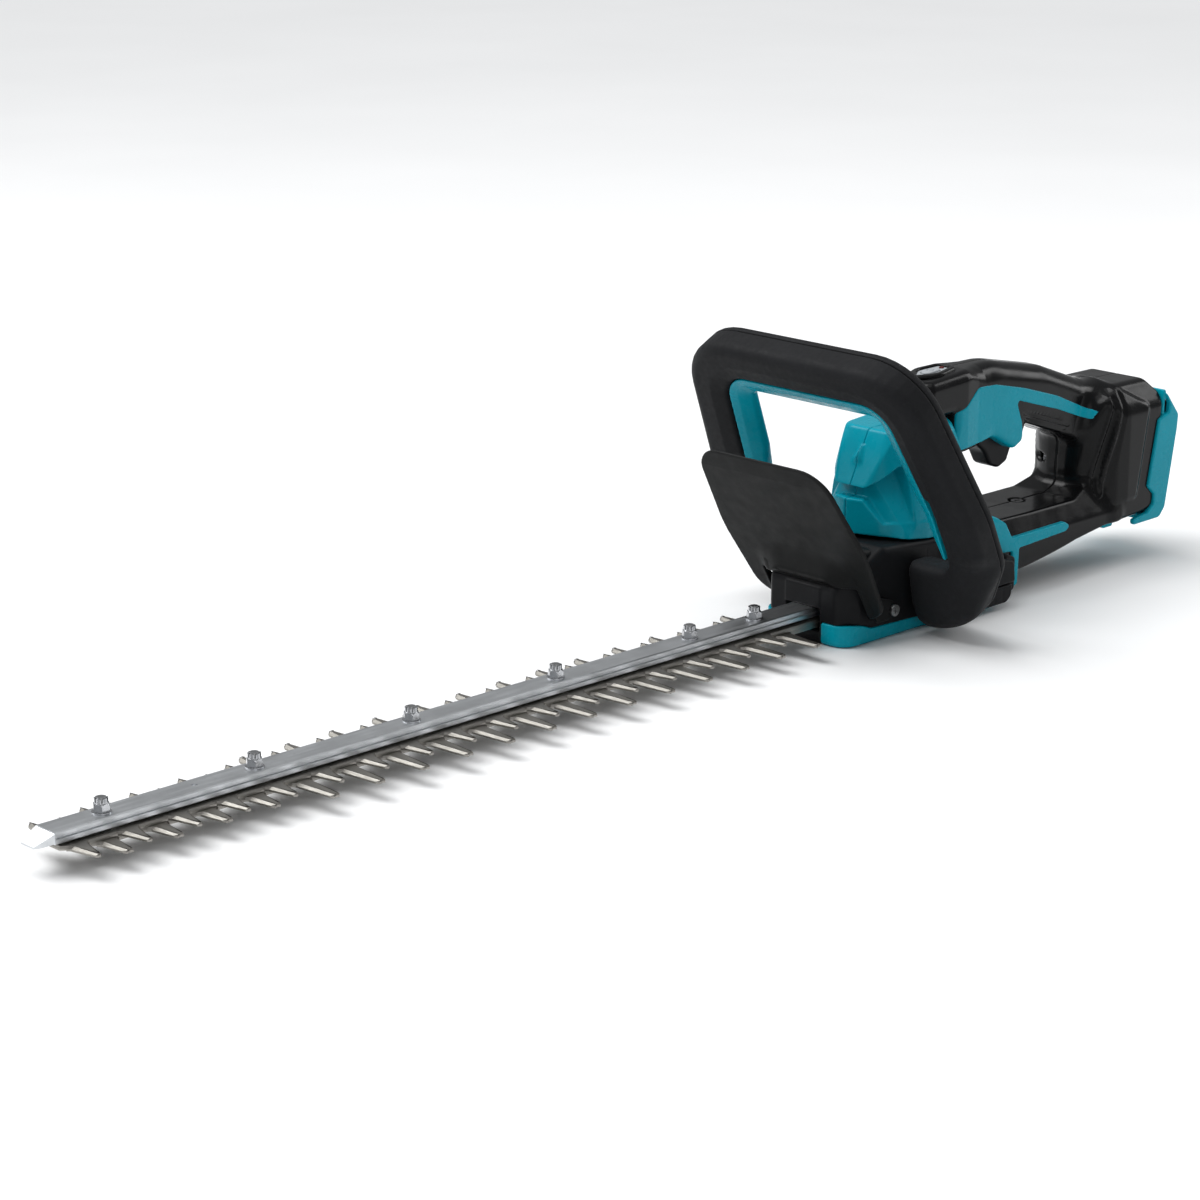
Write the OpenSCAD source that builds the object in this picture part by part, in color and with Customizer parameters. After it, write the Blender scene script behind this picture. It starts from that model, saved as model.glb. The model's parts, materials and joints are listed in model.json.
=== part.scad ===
// Battery hedge trimmer with a double reciprocating blade, a loop front handle and a D-shaped
// rear handle. X points to the blade's tip, Y to the tool's left and Z up. The origin is the
// centre of the flat face of the undercover, on which the tool rests.

/* [Blades] */
// Distance between neighbouring teeth of one blade
tooth_pitch = 31; // [30:0.5:32]
// Teeth on each side of one blade
tooth_count = 17; // [15:1:17]
// Half of the stroke of each blade
half_stroke = 8; // [6:0.5:8]
// Thickness of one blade
blade_t = 2.3; // [2:0.1:2.4]
// Reach of the upper blade's teeth from the centre line
upper_reach = 29.5; // [26:0.5:32]
// Reach of the lower blade's teeth from the centre line
lower_reach = 40; // [34:0.5:42]
// Height of the lower blade's underside above the datum
lower_z = 4.6; // [4.4:0.1:4.7]

/* [Guide bar] */
// Half of the bar's width
bar_half_w = 8.8; // [8:0.1:9.5]
// Height of the bar's underside above the datum
bar_z = 10.4; // [10.2:0.1:10.6]
// Thickness of the bar
bar_t = 6.5; // [6:0.1:7]

/* [Drive] */
// Position of the crankshaft along X
crank_x = -21; // [-22:0.5:-20]
// Gear module
gear_module = 1.25; // [1.25:0.05:1.25]
// Teeth on the crank gear
crank_teeth = 36; // [36:1:36]
// Teeth on the motor pinion
pinion_teeth = 10; // [10:1:10]
// Radius of the two eccentric discs
disc_r = 12; // [11:0.5:12]

/* [Body] */
// Half width of the undercover
base_half_w = 35; // [35:1:36]
// Front end of the undercover
base_front = 38; // [37:1:39]
// Rear end of the undercover
base_rear = -100; // [-102:1:-98]
// Height of the undercover's wall
base_h = 12; // [11:0.5:12.5]
// Height of the drive's datum above the rest face
datum_h = 5; // [4.5:0.5:5.5]
// Half width of the rear grip
grip_half_w = 17; // [16:0.5:18]
// Half width of the rear battery housing
rear_half_w = 35; // [34:0.5:36]

/* [Front loop handle] */
// Lean of the loop handle from the vertical
loop_lean = 27; // [26:0.1:28]
// Half of the loop handle's depth
loop_half_d = 12.5; // [12:0.5:13]
// Lean of the hand guard from the vertical
guard_lean = 31.8; // [31:0.1:32.5]

/* [Hidden] */
$fn = 32;

teal = [0.0, 0.55, 0.6];
black = [0.07, 0.07, 0.08];
steel = [0.66, 0.64, 0.6];
eps = 0.01;

// Blade stations
first_tooth_x = 581;
lower_shift = 18;
upper_z = lower_z + blade_t + 0.2;
spine_half_w = 11.5;
slot_half_w = 4.3;
sleeve_r = 4;
bolt_x = [558, 461, 353, 245, 136.5, 81];
bar_top = bar_z + bar_t;
bar_rear = 8;
bar_screw_x = [16, 30];
bar_tip = 592;

// Drive
pitch_r_gear = gear_module * crank_teeth / 2;
pitch_r_pinion = gear_module * pinion_teeth / 2;
motor_x = crank_x - pitch_r_gear - pitch_r_pinion;
gear_z = 12;
gear_t = 8;
crank_shaft_r = 5;
motor_shaft_r = 2.5;
stator_z = 58;
stator_h = 34;
stator_r = 27;
rotor_r = 15;
// The straight-line coupling leaves the disc this far from the true crank angle's place
yoke_gap = 0.2105 * half_stroke + 0.25;

// Handle
beam_half_w = 33;
case_top = 50;
case_half_w = 42;
guard_screw_at = [1, 14.5];
panel_at = [-76, 0, 142.65];
panel_tilt = 3.7;
beam_screw_x = -168;
// Inner face of the battery housing's wall
rear_wall_y = rear_half_w - 3.5;
trigger_pivot = [-113, 0, 106];
loop_at = [13, 0, 110];
lever_pivot_v = -82;
bail_end_v = -58;
bail_leg_u = 71.6;
pin_mid_u = 75.5;

// ---------- shared shapes ----------
function unit(v) = v / norm(v);
function flat2(p) = [p[0], p[1]];
// Points of an arc of radius r that rounds the corner b between a and c
function fillet(a, b, c, r, n) =
    let (u = unit(a - b), w = unit(c - b), half = acos(u * w) / 2,
         s = b + u * r / tan(half), e = b + w * r / tan(half), m = b + unit(u + w) * r / sin(half),
         a0 = atan2(s[1] - m[1], s[0] - m[0]), a1 = atan2(e[1] - m[1], e[0] - m[0]),
         da = ((a1 - a0 + 540) % 360) - 180)
    [for (i = [0:n]) m + r * [cos(a0 + da * i / n), sin(a0 + da * i / n)]];
// A polygon whose corners are [x, y, radius]
function rounded(p, n = 6) =
    [for (i = [0:len(p) - 1])
        let (l = len(p), a = p[(i + l - 1) % l], b = p[i], c = p[(i + 1) % l])
        each b[2] > 0 ? fillet(flat2(a), flat2(b), flat2(c), b[2], n) : [flat2(b)]];
// The same outline on the other side of the first axis
function mirrored(p) = concat(p, [for (i = [len(p) - 1:-1:0]) [-p[i][0], p[i][1], p[i][2]]]);
function mirrored_y(p) = concat(p, [for (i = [len(p) - 1:-1:0]) [p[i][0], -p[i][1], p[i][2]]]);
function flipped_y(p) = concat(p, [for (i = [len(p) - 1:-1:0]) [p[i][0], -p[i][1]]]);
// The same section on the other side of the centre plane
function flipped(p) = concat(p, [for (i = [len(p) - 1:-1:0]) [-p[i][0], p[i][1]]]);

// An outline in X and Z, extruded from y0 to y1
module side_prism(p, y0, y1) {
    translate([0, y1, 0]) rotate([90, 0, 0]) linear_extrude(height = y1 - y0) polygon(p);
}
// An outline in X and Y, extruded from z0 to z1
module plan_prism(p, z0, z1) {
    translate([0, 0, z0]) linear_extrude(height = z1 - z0) polygon(p);
}
// An outline in Y and Z that runs the whole length of the tool
module long_prism(p) {
    translate([-320, 0, 0]) rotate([90, 0, 90]) linear_extrude(height = 320) polygon(p);
}
module block(lo, hi) {
    translate(lo) cube(hi - lo);
}
// A ring or disc about Z
module disc(x, y, z0, z1, r, bore = 0) {
    translate([x, y, z0]) difference() {
        cylinder(r = r, h = z1 - z0, $fn = 64);
        if (bore > 0) translate([0, 0, -1]) cylinder(r = bore, h = z1 - z0 + 2, $fn = 64);
    }
}
// A rod about Y
module rod_y(x, z, y0, y1, r) {
    translate([x, y1, z]) rotate([90, 0, 0]) cylinder(r = r, h = y1 - y0);
}
module left_half(reach = 400) {
    intersection() {
        children();
        block([-reach, 0, -reach], [reach, reach, reach]);
    }
}
// Lifts shapes measured from the drive's datum off the rest face
module raised() {
    translate([0, 0, datum_h]) children();
}
module both_sides() {
    children();
    mirror([0, 1, 0]) children();
}
// Local X to Y, local Y up the leaning plane, local Z forwards
module leaning(at, lean) {
    translate(at) rotate([0, lean, 0]) rotate([90, 0, 90]) children();
}

// ---------- cutting set ----------
// One blade: a spine, teeth on both sides and a yoke round its eccentric disc
module blade(x0, reach, short_reach, short_count, tip_half, root_half) {
    nose_x = x0 + 9;
    yoke_y = disc_r + half_stroke + 7;
    yoke_x = disc_r + yoke_gap + 6;
    difference() {
        linear_extrude(height = blade_t) {
            polygon([[nose_x, -spine_half_w + 3], [nose_x, spine_half_w - 3], [nose_x - 4, spine_half_w],
                [crank_x, spine_half_w], [crank_x, -spine_half_w], [nose_x - 4, -spine_half_w]]);
            polygon(rounded([[crank_x + yoke_x, yoke_y, 5], [crank_x - yoke_x, yoke_y, 5],
                [crank_x - yoke_x, -yoke_y, 5], [crank_x + yoke_x, -yoke_y, 5]], 4));
            for (i = [0:tooth_count - 1], s = [-1, 1]) {
                x = x0 - i * tooth_pitch;
                tip = i < short_count ? short_reach : reach;
                polygon([[x - root_half, s * (spine_half_w - 1)], [x - root_half, s * spine_half_w],
                    [x - root_half + 1.5, s * (spine_half_w + 1.5)], [x - tip_half, s * tip],
                    [x + tip_half, s * tip], [x + root_half - 1.5, s * (spine_half_w + 1.5)],
                    [x + root_half, s * spine_half_w], [x + root_half, s * (spine_half_w - 1)]]);
            }
        }
        for (x = bolt_x) {
            reach_x = half_stroke + 0.2;
            translate([x - reach_x, -slot_half_w, -1]) cube([2 * reach_x, 2 * slot_half_w, blade_t + 2]);
            for (s = [-1, 1]) translate([x + s * reach_x, 0, -1]) cylinder(r = slot_half_w, h = blade_t + 2);
        }
        translate([crank_x, 0, -1]) {
            slot_y = half_stroke + 0.3;
            slot_r = disc_r + yoke_gap;
            translate([-slot_r, -slot_y, 0]) cube([2 * slot_r, 2 * slot_y, blade_t + 2]);
            for (s = [-1, 1]) translate([0, s * slot_y, 0]) cylinder(r = slot_r, h = blade_t + 2, $fn = 64);
        }
        // Clearance slot for the bar screws
        hull() for (x = [8, 38]) translate([x, 0, -1]) cylinder(r = 4.5, h = blade_t + 2);
    }
}
module upper_blade() {
    color(steel) raised() translate([0, 0, upper_z])
        blade(first_tooth_x, upper_reach, upper_reach, 0, 1.7, 7);
}
module lower_blade() {
    color(steel * 0.95) raised() translate([0, 0, lower_z])
        blade(first_tooth_x - lower_shift, lower_reach, 30, 4, 2.8, 7);
}
module guide_bar() {
    w = bar_half_w;
    section = [[w - 0.7, 0], [w, 0.7], [w, 2.9], [w - 1.2, 3.2], [w - 1.2, 4.0], [w - 0.4, 4.4],
        [w - 0.4, bar_t - 0.6], [w - 1, bar_t]];
    color([0.72, 0.75, 0.77]) raised() difference() {
        union() {
            translate([bar_rear, 0, bar_z]) rotate([90, 0, 90])
                linear_extrude(height = bar_tip - bar_rear)
                polygon(flipped(section));
            // Slanted nose
            hull() {
                translate([bar_tip - 1, -w + 0.6, bar_z + 0.6]) cube([1, 2 * w - 1.2, bar_t - 1.2]);
                translate([bar_tip + 8, -w + 3.4, bar_z]) cube([3, 2 * w - 6.8, 1.2]);
                translate([bar_tip + 6, -w + 2, bar_z]) cube([1, 2 * w - 4, 3]);
            }
        }
        for (x = bolt_x) translate([x, 0, bar_z - 1]) cylinder(r = 2.6, h = bar_t + 2);
        for (x = bar_screw_x) translate([x, 0, bar_z - 1]) cylinder(r = 2.45, h = bar_t + 2);
        translate([500, 0, bar_top - 1.5]) cylinder(r = 1.6, h = 3);
    }
}
module blade_bolts() {
    color([0.6, 0.6, 0.62]) raised() for (x = bolt_x) {
        translate([x, 0, lower_z - 3.2]) cylinder(r = 5, h = 2.2, $fn = 6);
        translate([x, 0, lower_z - 1.1]) cylinder(r = 2.5, h = bar_top + 9.5 - lower_z);
    }
}
module bolt_washers() {
    color([0.62, 0.62, 0.64]) raised() for (x = bolt_x) disc(x, 0, lower_z - 1, lower_z - 0.15, 6.5, 2.7);
}
module bolt_sleeves() {
    color([0.5, 0.5, 0.5]) raised() for (x = bolt_x) disc(x, 0, lower_z - 0.1, bar_z - eps, sleeve_r, 2.56);
}
module dome_nuts() {
    color([0.85, 0.86, 0.88]) raised() for (x = bolt_x) translate([x, 0, bar_top]) difference() {
        union() {
            cylinder(r = 5.2, h = 0.7);
            translate([0, 0, 0.7]) intersection() {
                cylinder(r = 4.62, h = 4.5, $fn = 6);
                cylinder(r1 = 6.2, r2 = 4.0, h = 4.5, $fn = 48);
            }
            translate([0, 0, 5]) cylinder(r = 3.6, h = 2.9, $fn = 48);
        }
        translate([0, 0, -1]) cylinder(r = 2.56, h = 12);
        for (a = [0:60:120]) rotate([0, 0, a]) translate([-5, -0.55, 5.8]) cube([10, 1.1, 4]);
    }
}
module bar_screws() {
    color([0.3, 0.3, 0.32]) raised() for (x = bar_screw_x) {
        translate([x, 0, bar_z + 0.3]) cylinder(r = 2.4, h = 17.5);
        translate([x, 0, bar_z + 17.7]) difference() {
            cylinder(r = 4.4, h = 4);
            translate([0, 0, 1.5]) cylinder(r = 2, h = 4, $fn = 6);
        }
    }
}

// ---------- gear case and crank drive ----------
base_plan = [[base_front, 0, 0], [base_front, base_half_w, 12], [-36, base_half_w, 6],
    [-44, 40, 6], [base_rear, 40, 8], [base_rear, 0, 0]];
base_top = base_h - datum_h;
function base_outline(inset) = rounded(mirrored_y([for (p = base_plan)
    [p[0] + (p[0] > 0 ? -inset : (p[0] < -90 ? inset : 0)), p[1] > 0 ? p[1] - inset : 0,
     p[2] > inset ? p[2] - inset : p[2] / 2]]));

module undercover() {
    color(teal) raised() difference() {
        union() {
            difference() {
                plan_prism(base_outline(0), -datum_h, base_top);
                plan_prism(base_outline(3), 2.4 - datum_h, base_top + 1);
            }
            for (p = cover_screw_at) disc(p[0], p[1], 1 - datum_h, base_top - 0.4, 4.6);
        }
        // Front mouth for the blades and the bar
        block([30, -15, 2.6], [80, 15, 20]);
        for (p = cover_screw_at) {
            disc(p[0], p[1], -1 - datum_h, 20, 1.8);
            disc(p[0], p[1], -1 - datum_h, 1.6 - datum_h, 3.6);
        }
        // Shallow pocket for washing out and air
        for (x = [-72:9:-36]) block([x, -16, -1 - datum_h], [x + 4, 16, 3 - datum_h]);
    }
}
cover_screw_at = [for (x = [22, -55, -92], s = [-1, 1]) [x, s * (x > 0 ? 28 : 33)]];
module undercover_screws() {
    color([0.25, 0.25, 0.27]) raised() for (p = cover_screw_at) {
        disc(p[0], p[1], 1.6 - datum_h, 15, 1.75);
        difference() {
            disc(p[0], p[1], 0.4 - datum_h, 1.6 - datum_h, 3.3);
            translate([p[0] - 2, p[1] - 0.35, -datum_h]) cube([4, 0.7, 1.1]);
            translate([p[0] - 0.35, p[1] - 2, -datum_h]) cube([0.7, 4, 1.1]);
        }
    }
}
case_side = [[39, base_top], [39, 30], [34, 36], [20, case_top - 4], [12, case_top],
    [-104, case_top], [-104, base_top]];
case_cavity = [[9.5, base_top - 1], [9.5, 15.6], [4, 19], [-2, case_top - 4], [-34, case_top - 4], [-34, 36],
    [-96, 36], [-96, base_top - 1]];
module gear_case() {
    color(black) raised() difference() {
        union() {
            intersection() {
                side_prism(case_side, -case_half_w, case_half_w);
                plan_prism(rounded(mirrored_y([[39, 26, 3], [36, 28, 4], [24, 35, 6], [-20, 38, 10],
                    [-40, case_half_w, 10], [-104, case_half_w, 6]])), 0, 80);
            }
            // Pad that carries the bar
            block([10, -14, bar_top + 0.02], [38, 14, 30]);
        }
        difference() {
            intersection() {
                side_prism(case_cavity, -38, 38);
                plan_prism(flipped_y([[10, 31], [-20, 34], [-44, 38], [-100, 38]]), 0, 60);
            }
            for (p = cover_screw_at) disc(p[0], p[1], 0, 60, 4.6);
            disc(crank_x, 0, gear_z + gear_t + 3, 60, 15);
        }
        // Channel for bar and blades
        block([3, -13.5, base_top - 1], [60, 13.5, bar_top + 0.02]);
        for (x = bar_screw_x) {
            disc(x, 0, 10, 40, 2.55);
            disc(x, 0, bar_z + 17.6, 60, 5);
        }
        for (p = cover_screw_at) disc(p[0], p[1], 0, 22, 1.78);
        // Seats of the bearings
        disc(crank_x, 0, 10, case_top - 3, 11.02);
        disc(motor_x, 0, 30, case_top - 3, 8.02);
        disc(motor_x, 0, 20, 60, 7);
        for (s = [-1, 1]) translate([guard_screw_at[0], s * 38, guard_screw_at[1]])
            rotate([s * 90, 0, 0]) cylinder(r = 1.95, h = 9);
    }
}
module felt_pad() {
    color([0.75, 0.7, 0.6]) raised() difference() {
        block([3.4, -13, bar_z + 0.1], [7.9, 13, bar_z + 5]);
        block([-3, -3, 0], [20, 3, 40]);
    }
}

// Involute gear
function inv(a) = tan(a) * 180 / PI - a;
function inv_point(rb, a) = let (t = tan(a) * 180 / PI) rb / cos(a) * [cos(t - a), sin(t - a)];
function spin2(p, a) = [p[0] * cos(a) - p[1] * sin(a), p[0] * sin(a) + p[1] * cos(a)];
module gear(z, width, bore, backlash_deg) {
    rp = gear_module * z / 2;
    rb = rp * cos(20);
    ra = rp + gear_module * 0.95;
    rf = rp - gear_module * 1.2;
    half = 90 / z + inv(20) - backlash_deg;
    top = acos(rb / ra);
    flank = [for (i = [0:4]) spin2(inv_point(rb, top * i / 4), -half)];
    points = [for (k = [0:z - 1]) let (turn = 360 * k / z) each concat(
        [spin2([rf, 0], turn - half - 0.5)],
        [for (p = flank) spin2(p, turn)],
        [for (i = [4:-1:0]) spin2([flank[i][0], -flank[i][1]], turn)],
        [spin2([rf, 0], turn + half + 0.5)])];
    linear_extrude(height = width) difference() {
        polygon(points);
        if (bore > 0) circle(r = bore, $fn = 48);
    }
}
module crank_gear() {
    color([0.55, 0.55, 0.57]) raised() translate([crank_x, 0, 0]) {
        translate([0, 0, gear_z]) difference() {
            rotate([0, 0, 180 + 180 / crank_teeth]) gear(crank_teeth, gear_t, 0, 0.18);
            for (a = [0:60:300]) rotate([0, 0, a]) translate([13.5, 0, -1]) cylinder(r = 3, h = gear_t + 2);
        }
        translate([0, half_stroke, upper_z - 0.05])
            cylinder(r = disc_r, h = gear_z - upper_z + 0.1, $fn = 64);
        translate([0, -half_stroke, lower_z - 0.3]) cylinder(r = disc_r, h = blade_t + 0.35, $fn = 64);
        translate([0, 0, gear_z + gear_t - eps]) cylinder(r = 7.5, h = 3, $fn = 64);
        translate([0, 0, gear_z]) cylinder(r = crank_shaft_r - 0.02, h = 33, $fn = 64);
    }
}
module crank_bearings() {
    color([0.7, 0.7, 0.72]) raised() for (z = [gear_z + gear_t + 3.2, 37])
        disc(crank_x, 0, z, z + 7, 11, crank_shaft_r + 0.02);
}

// ---------- motor ----------
module motor_rotor() {
    color([0.4, 0.4, 0.42]) raised() {
        disc(motor_x, 0, gear_z - 1, 112, motor_shaft_r);
        disc(motor_x, 0, stator_z - 1, stator_z + stator_h + 1, rotor_r);
    }
}
module motor_pinion() {
    color([0.6, 0.6, 0.62]) raised() translate([motor_x, 0, gear_z - 0.5])
        gear(pinion_teeth, gear_t + 1, motor_shaft_r, 0.6);
}
module cooling_fan() {
    color([0.15, 0.15, 0.16]) raised() {
        disc(motor_x, 0, 96, 98, 23, motor_shaft_r);
        disc(motor_x, 0, 95.6, 103, 6, motor_shaft_r);
        for (a = [0:30:330]) translate([motor_x, 0, 97.9]) rotate([0, 0, a])
            translate([7, 0, 0]) rotate([0, 0, 20]) cube([15, 1.2, 5]);
    }
}
module motor_bearings() {
    color([0.7, 0.7, 0.72]) raised() {
        disc(motor_x, 0, 38, 45, 8, motor_shaft_r + 0.03);
        disc(motor_x, 0, 107, 112, 8, motor_shaft_r + 0.03);
    }
}
module motor_stator() {
    color([0.35, 0.36, 0.38]) raised() difference() {
        disc(motor_x, 0, stator_z, stator_z + stator_h, stator_r, rotor_r + 0.6);
        for (a = [0:60:300]) translate([motor_x, 0, 0]) rotate([0, 0, a])
            translate([20, -5, stator_z - 1]) cube([4, 10, stator_h + 2]);
    }
}
module stator_coils() {
    color([0.72, 0.35, 0.12]) raised() for (a = [0:60:300]) translate([motor_x, 0, 0]) rotate([0, 0, a])
        translate([20.2, -4.8, stator_z - 3]) cube([3.6, 9.6, stator_h + 6]);
}

// ---------- teal motor housing ----------
function dome_plan(x0, x1, w, cut) =
    mirrored_y([[x0, w - cut * 1.2, 0], [x0 - cut, w - cut * 0.25, 0], [x0 - cut * 1.8, w, 0],
        [x1 + 14, w, 0], [x1, w - 16, 0]]);
module dome_layer(x0, x1, w, cut, z) {
    translate([0, 0, z]) linear_extrude(height = 0.4)
        polygon([for (p = dome_plan(x0, x1, w, cut)) flat2(p)]);
}
module dome(inset) {
    hull() {
        dome_layer(-2 - inset, -98 + inset, 40 - inset, 20, case_top + (inset > 0 ? -1 : 0.05));
        dome_layer(2 - inset, -96 + inset, 41 - inset, 20, 70);
        dome_layer(0 - inset, -94 + inset, 39 - inset, 20, 79);
    }
    hull() {
        dome_layer(-4 - inset, -92 + inset, 38 - inset, 18, 77);
        dome_layer(-15 - inset, -86 + inset, 35 - inset, 17, 110 - inset);
        dome_layer(-22 - inset, -84 + inset, 27 - inset, 12, 117.5 - inset);
    }
}
// Screw posts that stand in a shell, and the bores and head seats cut through them
module screw_posts(at, reach) {
    for (p = at) rod_y(p[0], p[1], 0, reach, 3.8);
}
module screw_bores(at, depth, head) {
    for (p = at) {
        rod_y(p[0], p[1], -1, depth, 1.56);
        if (head) rod_y(p[0], p[1], depth - 2, 80, 3.3);
    }
}
module motor_housing(head) {
    left_half() difference() {
        union() {
            difference() {
                dome(0);
                dome(3);
            }
            intersection() {
                dome(1);
                union() {
                    screw_posts(housing_screw_at, 60);
                    disc(motor_x, 0, 106.5, 116, 11);
                }
            }
        }
        // Seat of the upper motor bearing
        disc(motor_x, 0, 100, 112.2, 8.03);
        // Cooling slots over the fan on the side
        for (i = [0:4]) block([-72 + i * 8, 28, 88], [-68 + i * 8, 60, 100]);
        side_prism(handle_root, -20.3, 20.3);
        screw_bores(housing_screw_at, 16, head);
    }
}
module motor_housing_left() { color(teal) raised() motor_housing(false); }
module motor_housing_right() { color(teal) raised() mirror([0, 1, 0]) motor_housing(true); }

// ---------- rear handle and battery housing ----------
handle_root = [[-46, 117], [-46, 150], [-120, 150], [-120, 91], [-80, 91], [-80, 117]];
grip_side = rounded([[-48, 118, 2], [-48, 128, 5], [-57, 142, 9], [-96, 144.5, 20], [-128, 144, 60],
    [-178, 133, 60], [-216, 119, 30], [-232, 114, 4], [-232, 96, 4], [-206, 82, 4],
    [-178, 92, 14], [-154, 101, 6], [-151, 90, 3], [-143, 86, 4], [-122, 98, 10], [-104, 94, 3],
    [-80.4, 93, 2], [-80.4, 118, 1]]);
grip_hollow = rounded([[-54, 122, 2], [-60, 137, 4], [-92, 139, 6], [-128, 137, 50], [-178, 126, 50],
    [-206, 114, 10], [-206, 92, 6], [-178, 99, 8], [-156, 106, 4], [-107, 110, 1], [-105, 99, 1],
    [-84, 98, 2], [-84, 122, 2]]);
beam_side = rounded([[-104.3, 8, 2], [-104.3, 46, 2], [-150, 45, 10], [-196, 45, 8], [-230, 60, 4],
    [-230, 26, 4], [-190, 20, 20], [-140, 10, 20]]);
beam_section = flipped([[60, 0], [60, 34], [33, 36], [13, 46]]);
beam_hollow = [[-108, 14], [-108, 40], [-224, 40], [-224, 31], [-190, 25], [-140, 15]];
rear_side = rounded([[-206, 28, 8], [-196, 48, 10], [-196, 84, 8], [-214, 106, 8], [-234, 115, 8],
    [-266, 114, 6], [-277, 104, 4], [-271, 26, 8], [-240, 24, 8]]);
rear_section = flipped([[60, 0], [60, 88], [35, 98], [20, 116]]);
rear_hollow = [[-202, 40], [-202, 80], [-218, 102], [-236, 110], [-280, 108], [-274, 31], [-210, 33]];
rear_plan = mirrored_y([[-192, 6, 3], [-214, 26, 14], [-232, rear_half_w, 5], [-300, rear_half_w, 0]]);
module handle_housing(head) {
    left_half() difference() {
        union() {
            difference() {
                side_prism(grip_side, -grip_half_w, grip_half_w);
                for (s = [-1, 1]) translate([0, s * (grip_half_w + 5), 152])
                    rotate([45, 0, 0]) cube([500, 14, 14], center = true);
            }
            intersection() {
                side_prism(beam_side, -beam_half_w, beam_half_w);
                long_prism(beam_section);
            }
            intersection() {
                side_prism(rear_side, -rear_half_w, rear_half_w);
                plan_prism(rounded(rear_plan), 0, 200);
                long_prism(rear_section);
            }
        }
        side_prism(grip_hollow, -grip_half_w + 3.2, grip_half_w - 3.2);
        side_prism(beam_hollow, -beam_half_w + 3.5, beam_half_w - 3.5);
        intersection() {
            side_prism(rear_hollow, -rear_wall_y, rear_wall_y);
            plan_prism(flipped_y([[-200, 6], [-216, 20], [-234, rear_wall_y], [-300, rear_wall_y]]), 0, 200);
            long_prism(flipped([[60, 0], [60, 86], [32, 95], [18, 111]]));
        }
        // Slot and pin seat of the trigger
        rod_y(trigger_pivot[0], trigger_pivot[2], -13.8, 13.8, 2.02);
        block([-157, -9, 60], [-108.6, 9, 113]);
        // Window of the power panel
        on_panel() translate([-15, -8.4, -8]) cube([30, 16.8, 12]);
        // Recessed screw seat on the beam
        disc(beam_screw_x, 0, 42.5, 70, 5);
        disc(beam_screw_x, 0, 30, 70, 2.05);
        // Fluted sides of the battery housing
        for (s = [-1, 1]) translate([-222, s * (rear_half_w + 1), 75]) cube([4, 5, 60], center = true);
        // Behind the teal trims
        both_sides() trim_shape(0.05);
        both_sides() belt_shape(0.05);
        screw_bores(handle_screw_at, 11, head);
    }
    left_half() difference() {
        screw_posts(handle_screw_at, 14);
        screw_bores(handle_screw_at, 11, head);
    }
}
module handle_housing_left() { color(black) raised() handle_housing(false); }
module handle_housing_right() { color(black) raised() mirror([0, 1, 0]) handle_housing(true); }

trim_side = rounded([[-82, 95, 1], [-82, 120, 1], [-90, 122, 6], [-104, 132.5, 8], [-122, 131.5, 20],
    [-150, 125, 60], [-186, 114, 40], [-227, 96, 1], [-222, 91, 1], [-186, 105, 40], [-143, 118, 2],
    [-149.5, 102, 4], [-151, 91, 3], [-142.5, 87, 4], [-122, 97.5, 10]]);
module trim_shape(grow) {
    side_prism(trim_side, grip_half_w - 1.2 - grow, grip_half_w + 0.8);
}
module grip_trim_left() { color(teal) raised() trim_shape(0); }
module grip_trim_right() { color(teal) raised() mirror([0, 1, 0]) trim_shape(0); }
// Belt that runs down behind the loop's foot and back along the beam
belt_side = rounded([[-108, 52, 1], [-113, 39, 2], [-120, 37, 1], [-173, 38.5, 3], [-179.5, 34, 2],
    [-175, 30.5, 2], [-124, 28, 1], [-124, 4, 1.5], [-119.5, 2, 1], [-118.5, 27, 1], [-108, 30, 1]], 4);
module belt_shape(grow) {
    side_prism(belt_side, beam_half_w - 1.4 - grow, beam_half_w + 2);
}
module beam_belt_left() { color(teal) raised() belt_shape(0); }
module beam_belt_right() { color(teal) raised() mirror([0, 1, 0]) belt_shape(0); }

// Teal frame round the battery bay
frame_side = [[-268, 108], [-275, 109], [-292, 86], [-291, 77], [-281, 23], [-275, 19.5], [-246, 19.5],
    [-246, 23.5], [-262, 25], [-267, 30], [-266, 44], [-272, 84], [-279, 92], [-278, 100]];
module rear_frame() {
    color(teal) raised() {
        both_sides() difference() {
            side_prism(rounded([for (p = frame_side) [p[0], p[1], 1.2]], 3),
                rear_half_w - 3, rear_half_w + 1);
            intersection() {
                side_prism(rear_side, -rear_half_w - 0.05, rear_half_w + 0.05);
                side_prism(rear_side, 0, rear_half_w + 0.05);
            }
        }
        sill_side = [[-262, 19.5], [-262, 23.6], [-276, 25], [-280, 23], [-275, 19.5]];
        side_prism(sill_side, -rear_half_w + 2, rear_half_w - 2);
        // Back wall of the bay
        wall_side = [[-279.5, 106], [-277.2, 106], [-271.4, 24], [-274, 24]];
        side_prism(wall_side, -rear_half_w + 2, rear_half_w - 2);
    }
}
module battery_rails() {
    color([0.12, 0.12, 0.13]) raised() both_sides() {
        side_prism([[-279.7, 102], [-290, 88], [-289, 80], [-280, 30], [-274.6, 30]], 28, 31.9);
        side_prism([[-286, 93], [-290, 88], [-289, 80], [-281, 36], [-278, 36]], 25.5, 28.1);
    }
}
module terminal_block() {
    color([0.1, 0.1, 0.1]) raised()
        side_prism([[-277.7, 70], [-284, 66], [-280.5, 36], [-275.1, 36]], -17, 17);
}
module terminals() {
    color([0.8, 0.65, 0.35]) raised() for (y = [-11, -3.5, 3.5, 11])
        side_prism([[-283.8, 62], [-289, 60], [-286, 40], [-281.2, 40]], y - 0.5, y + 0.5);
}
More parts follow.
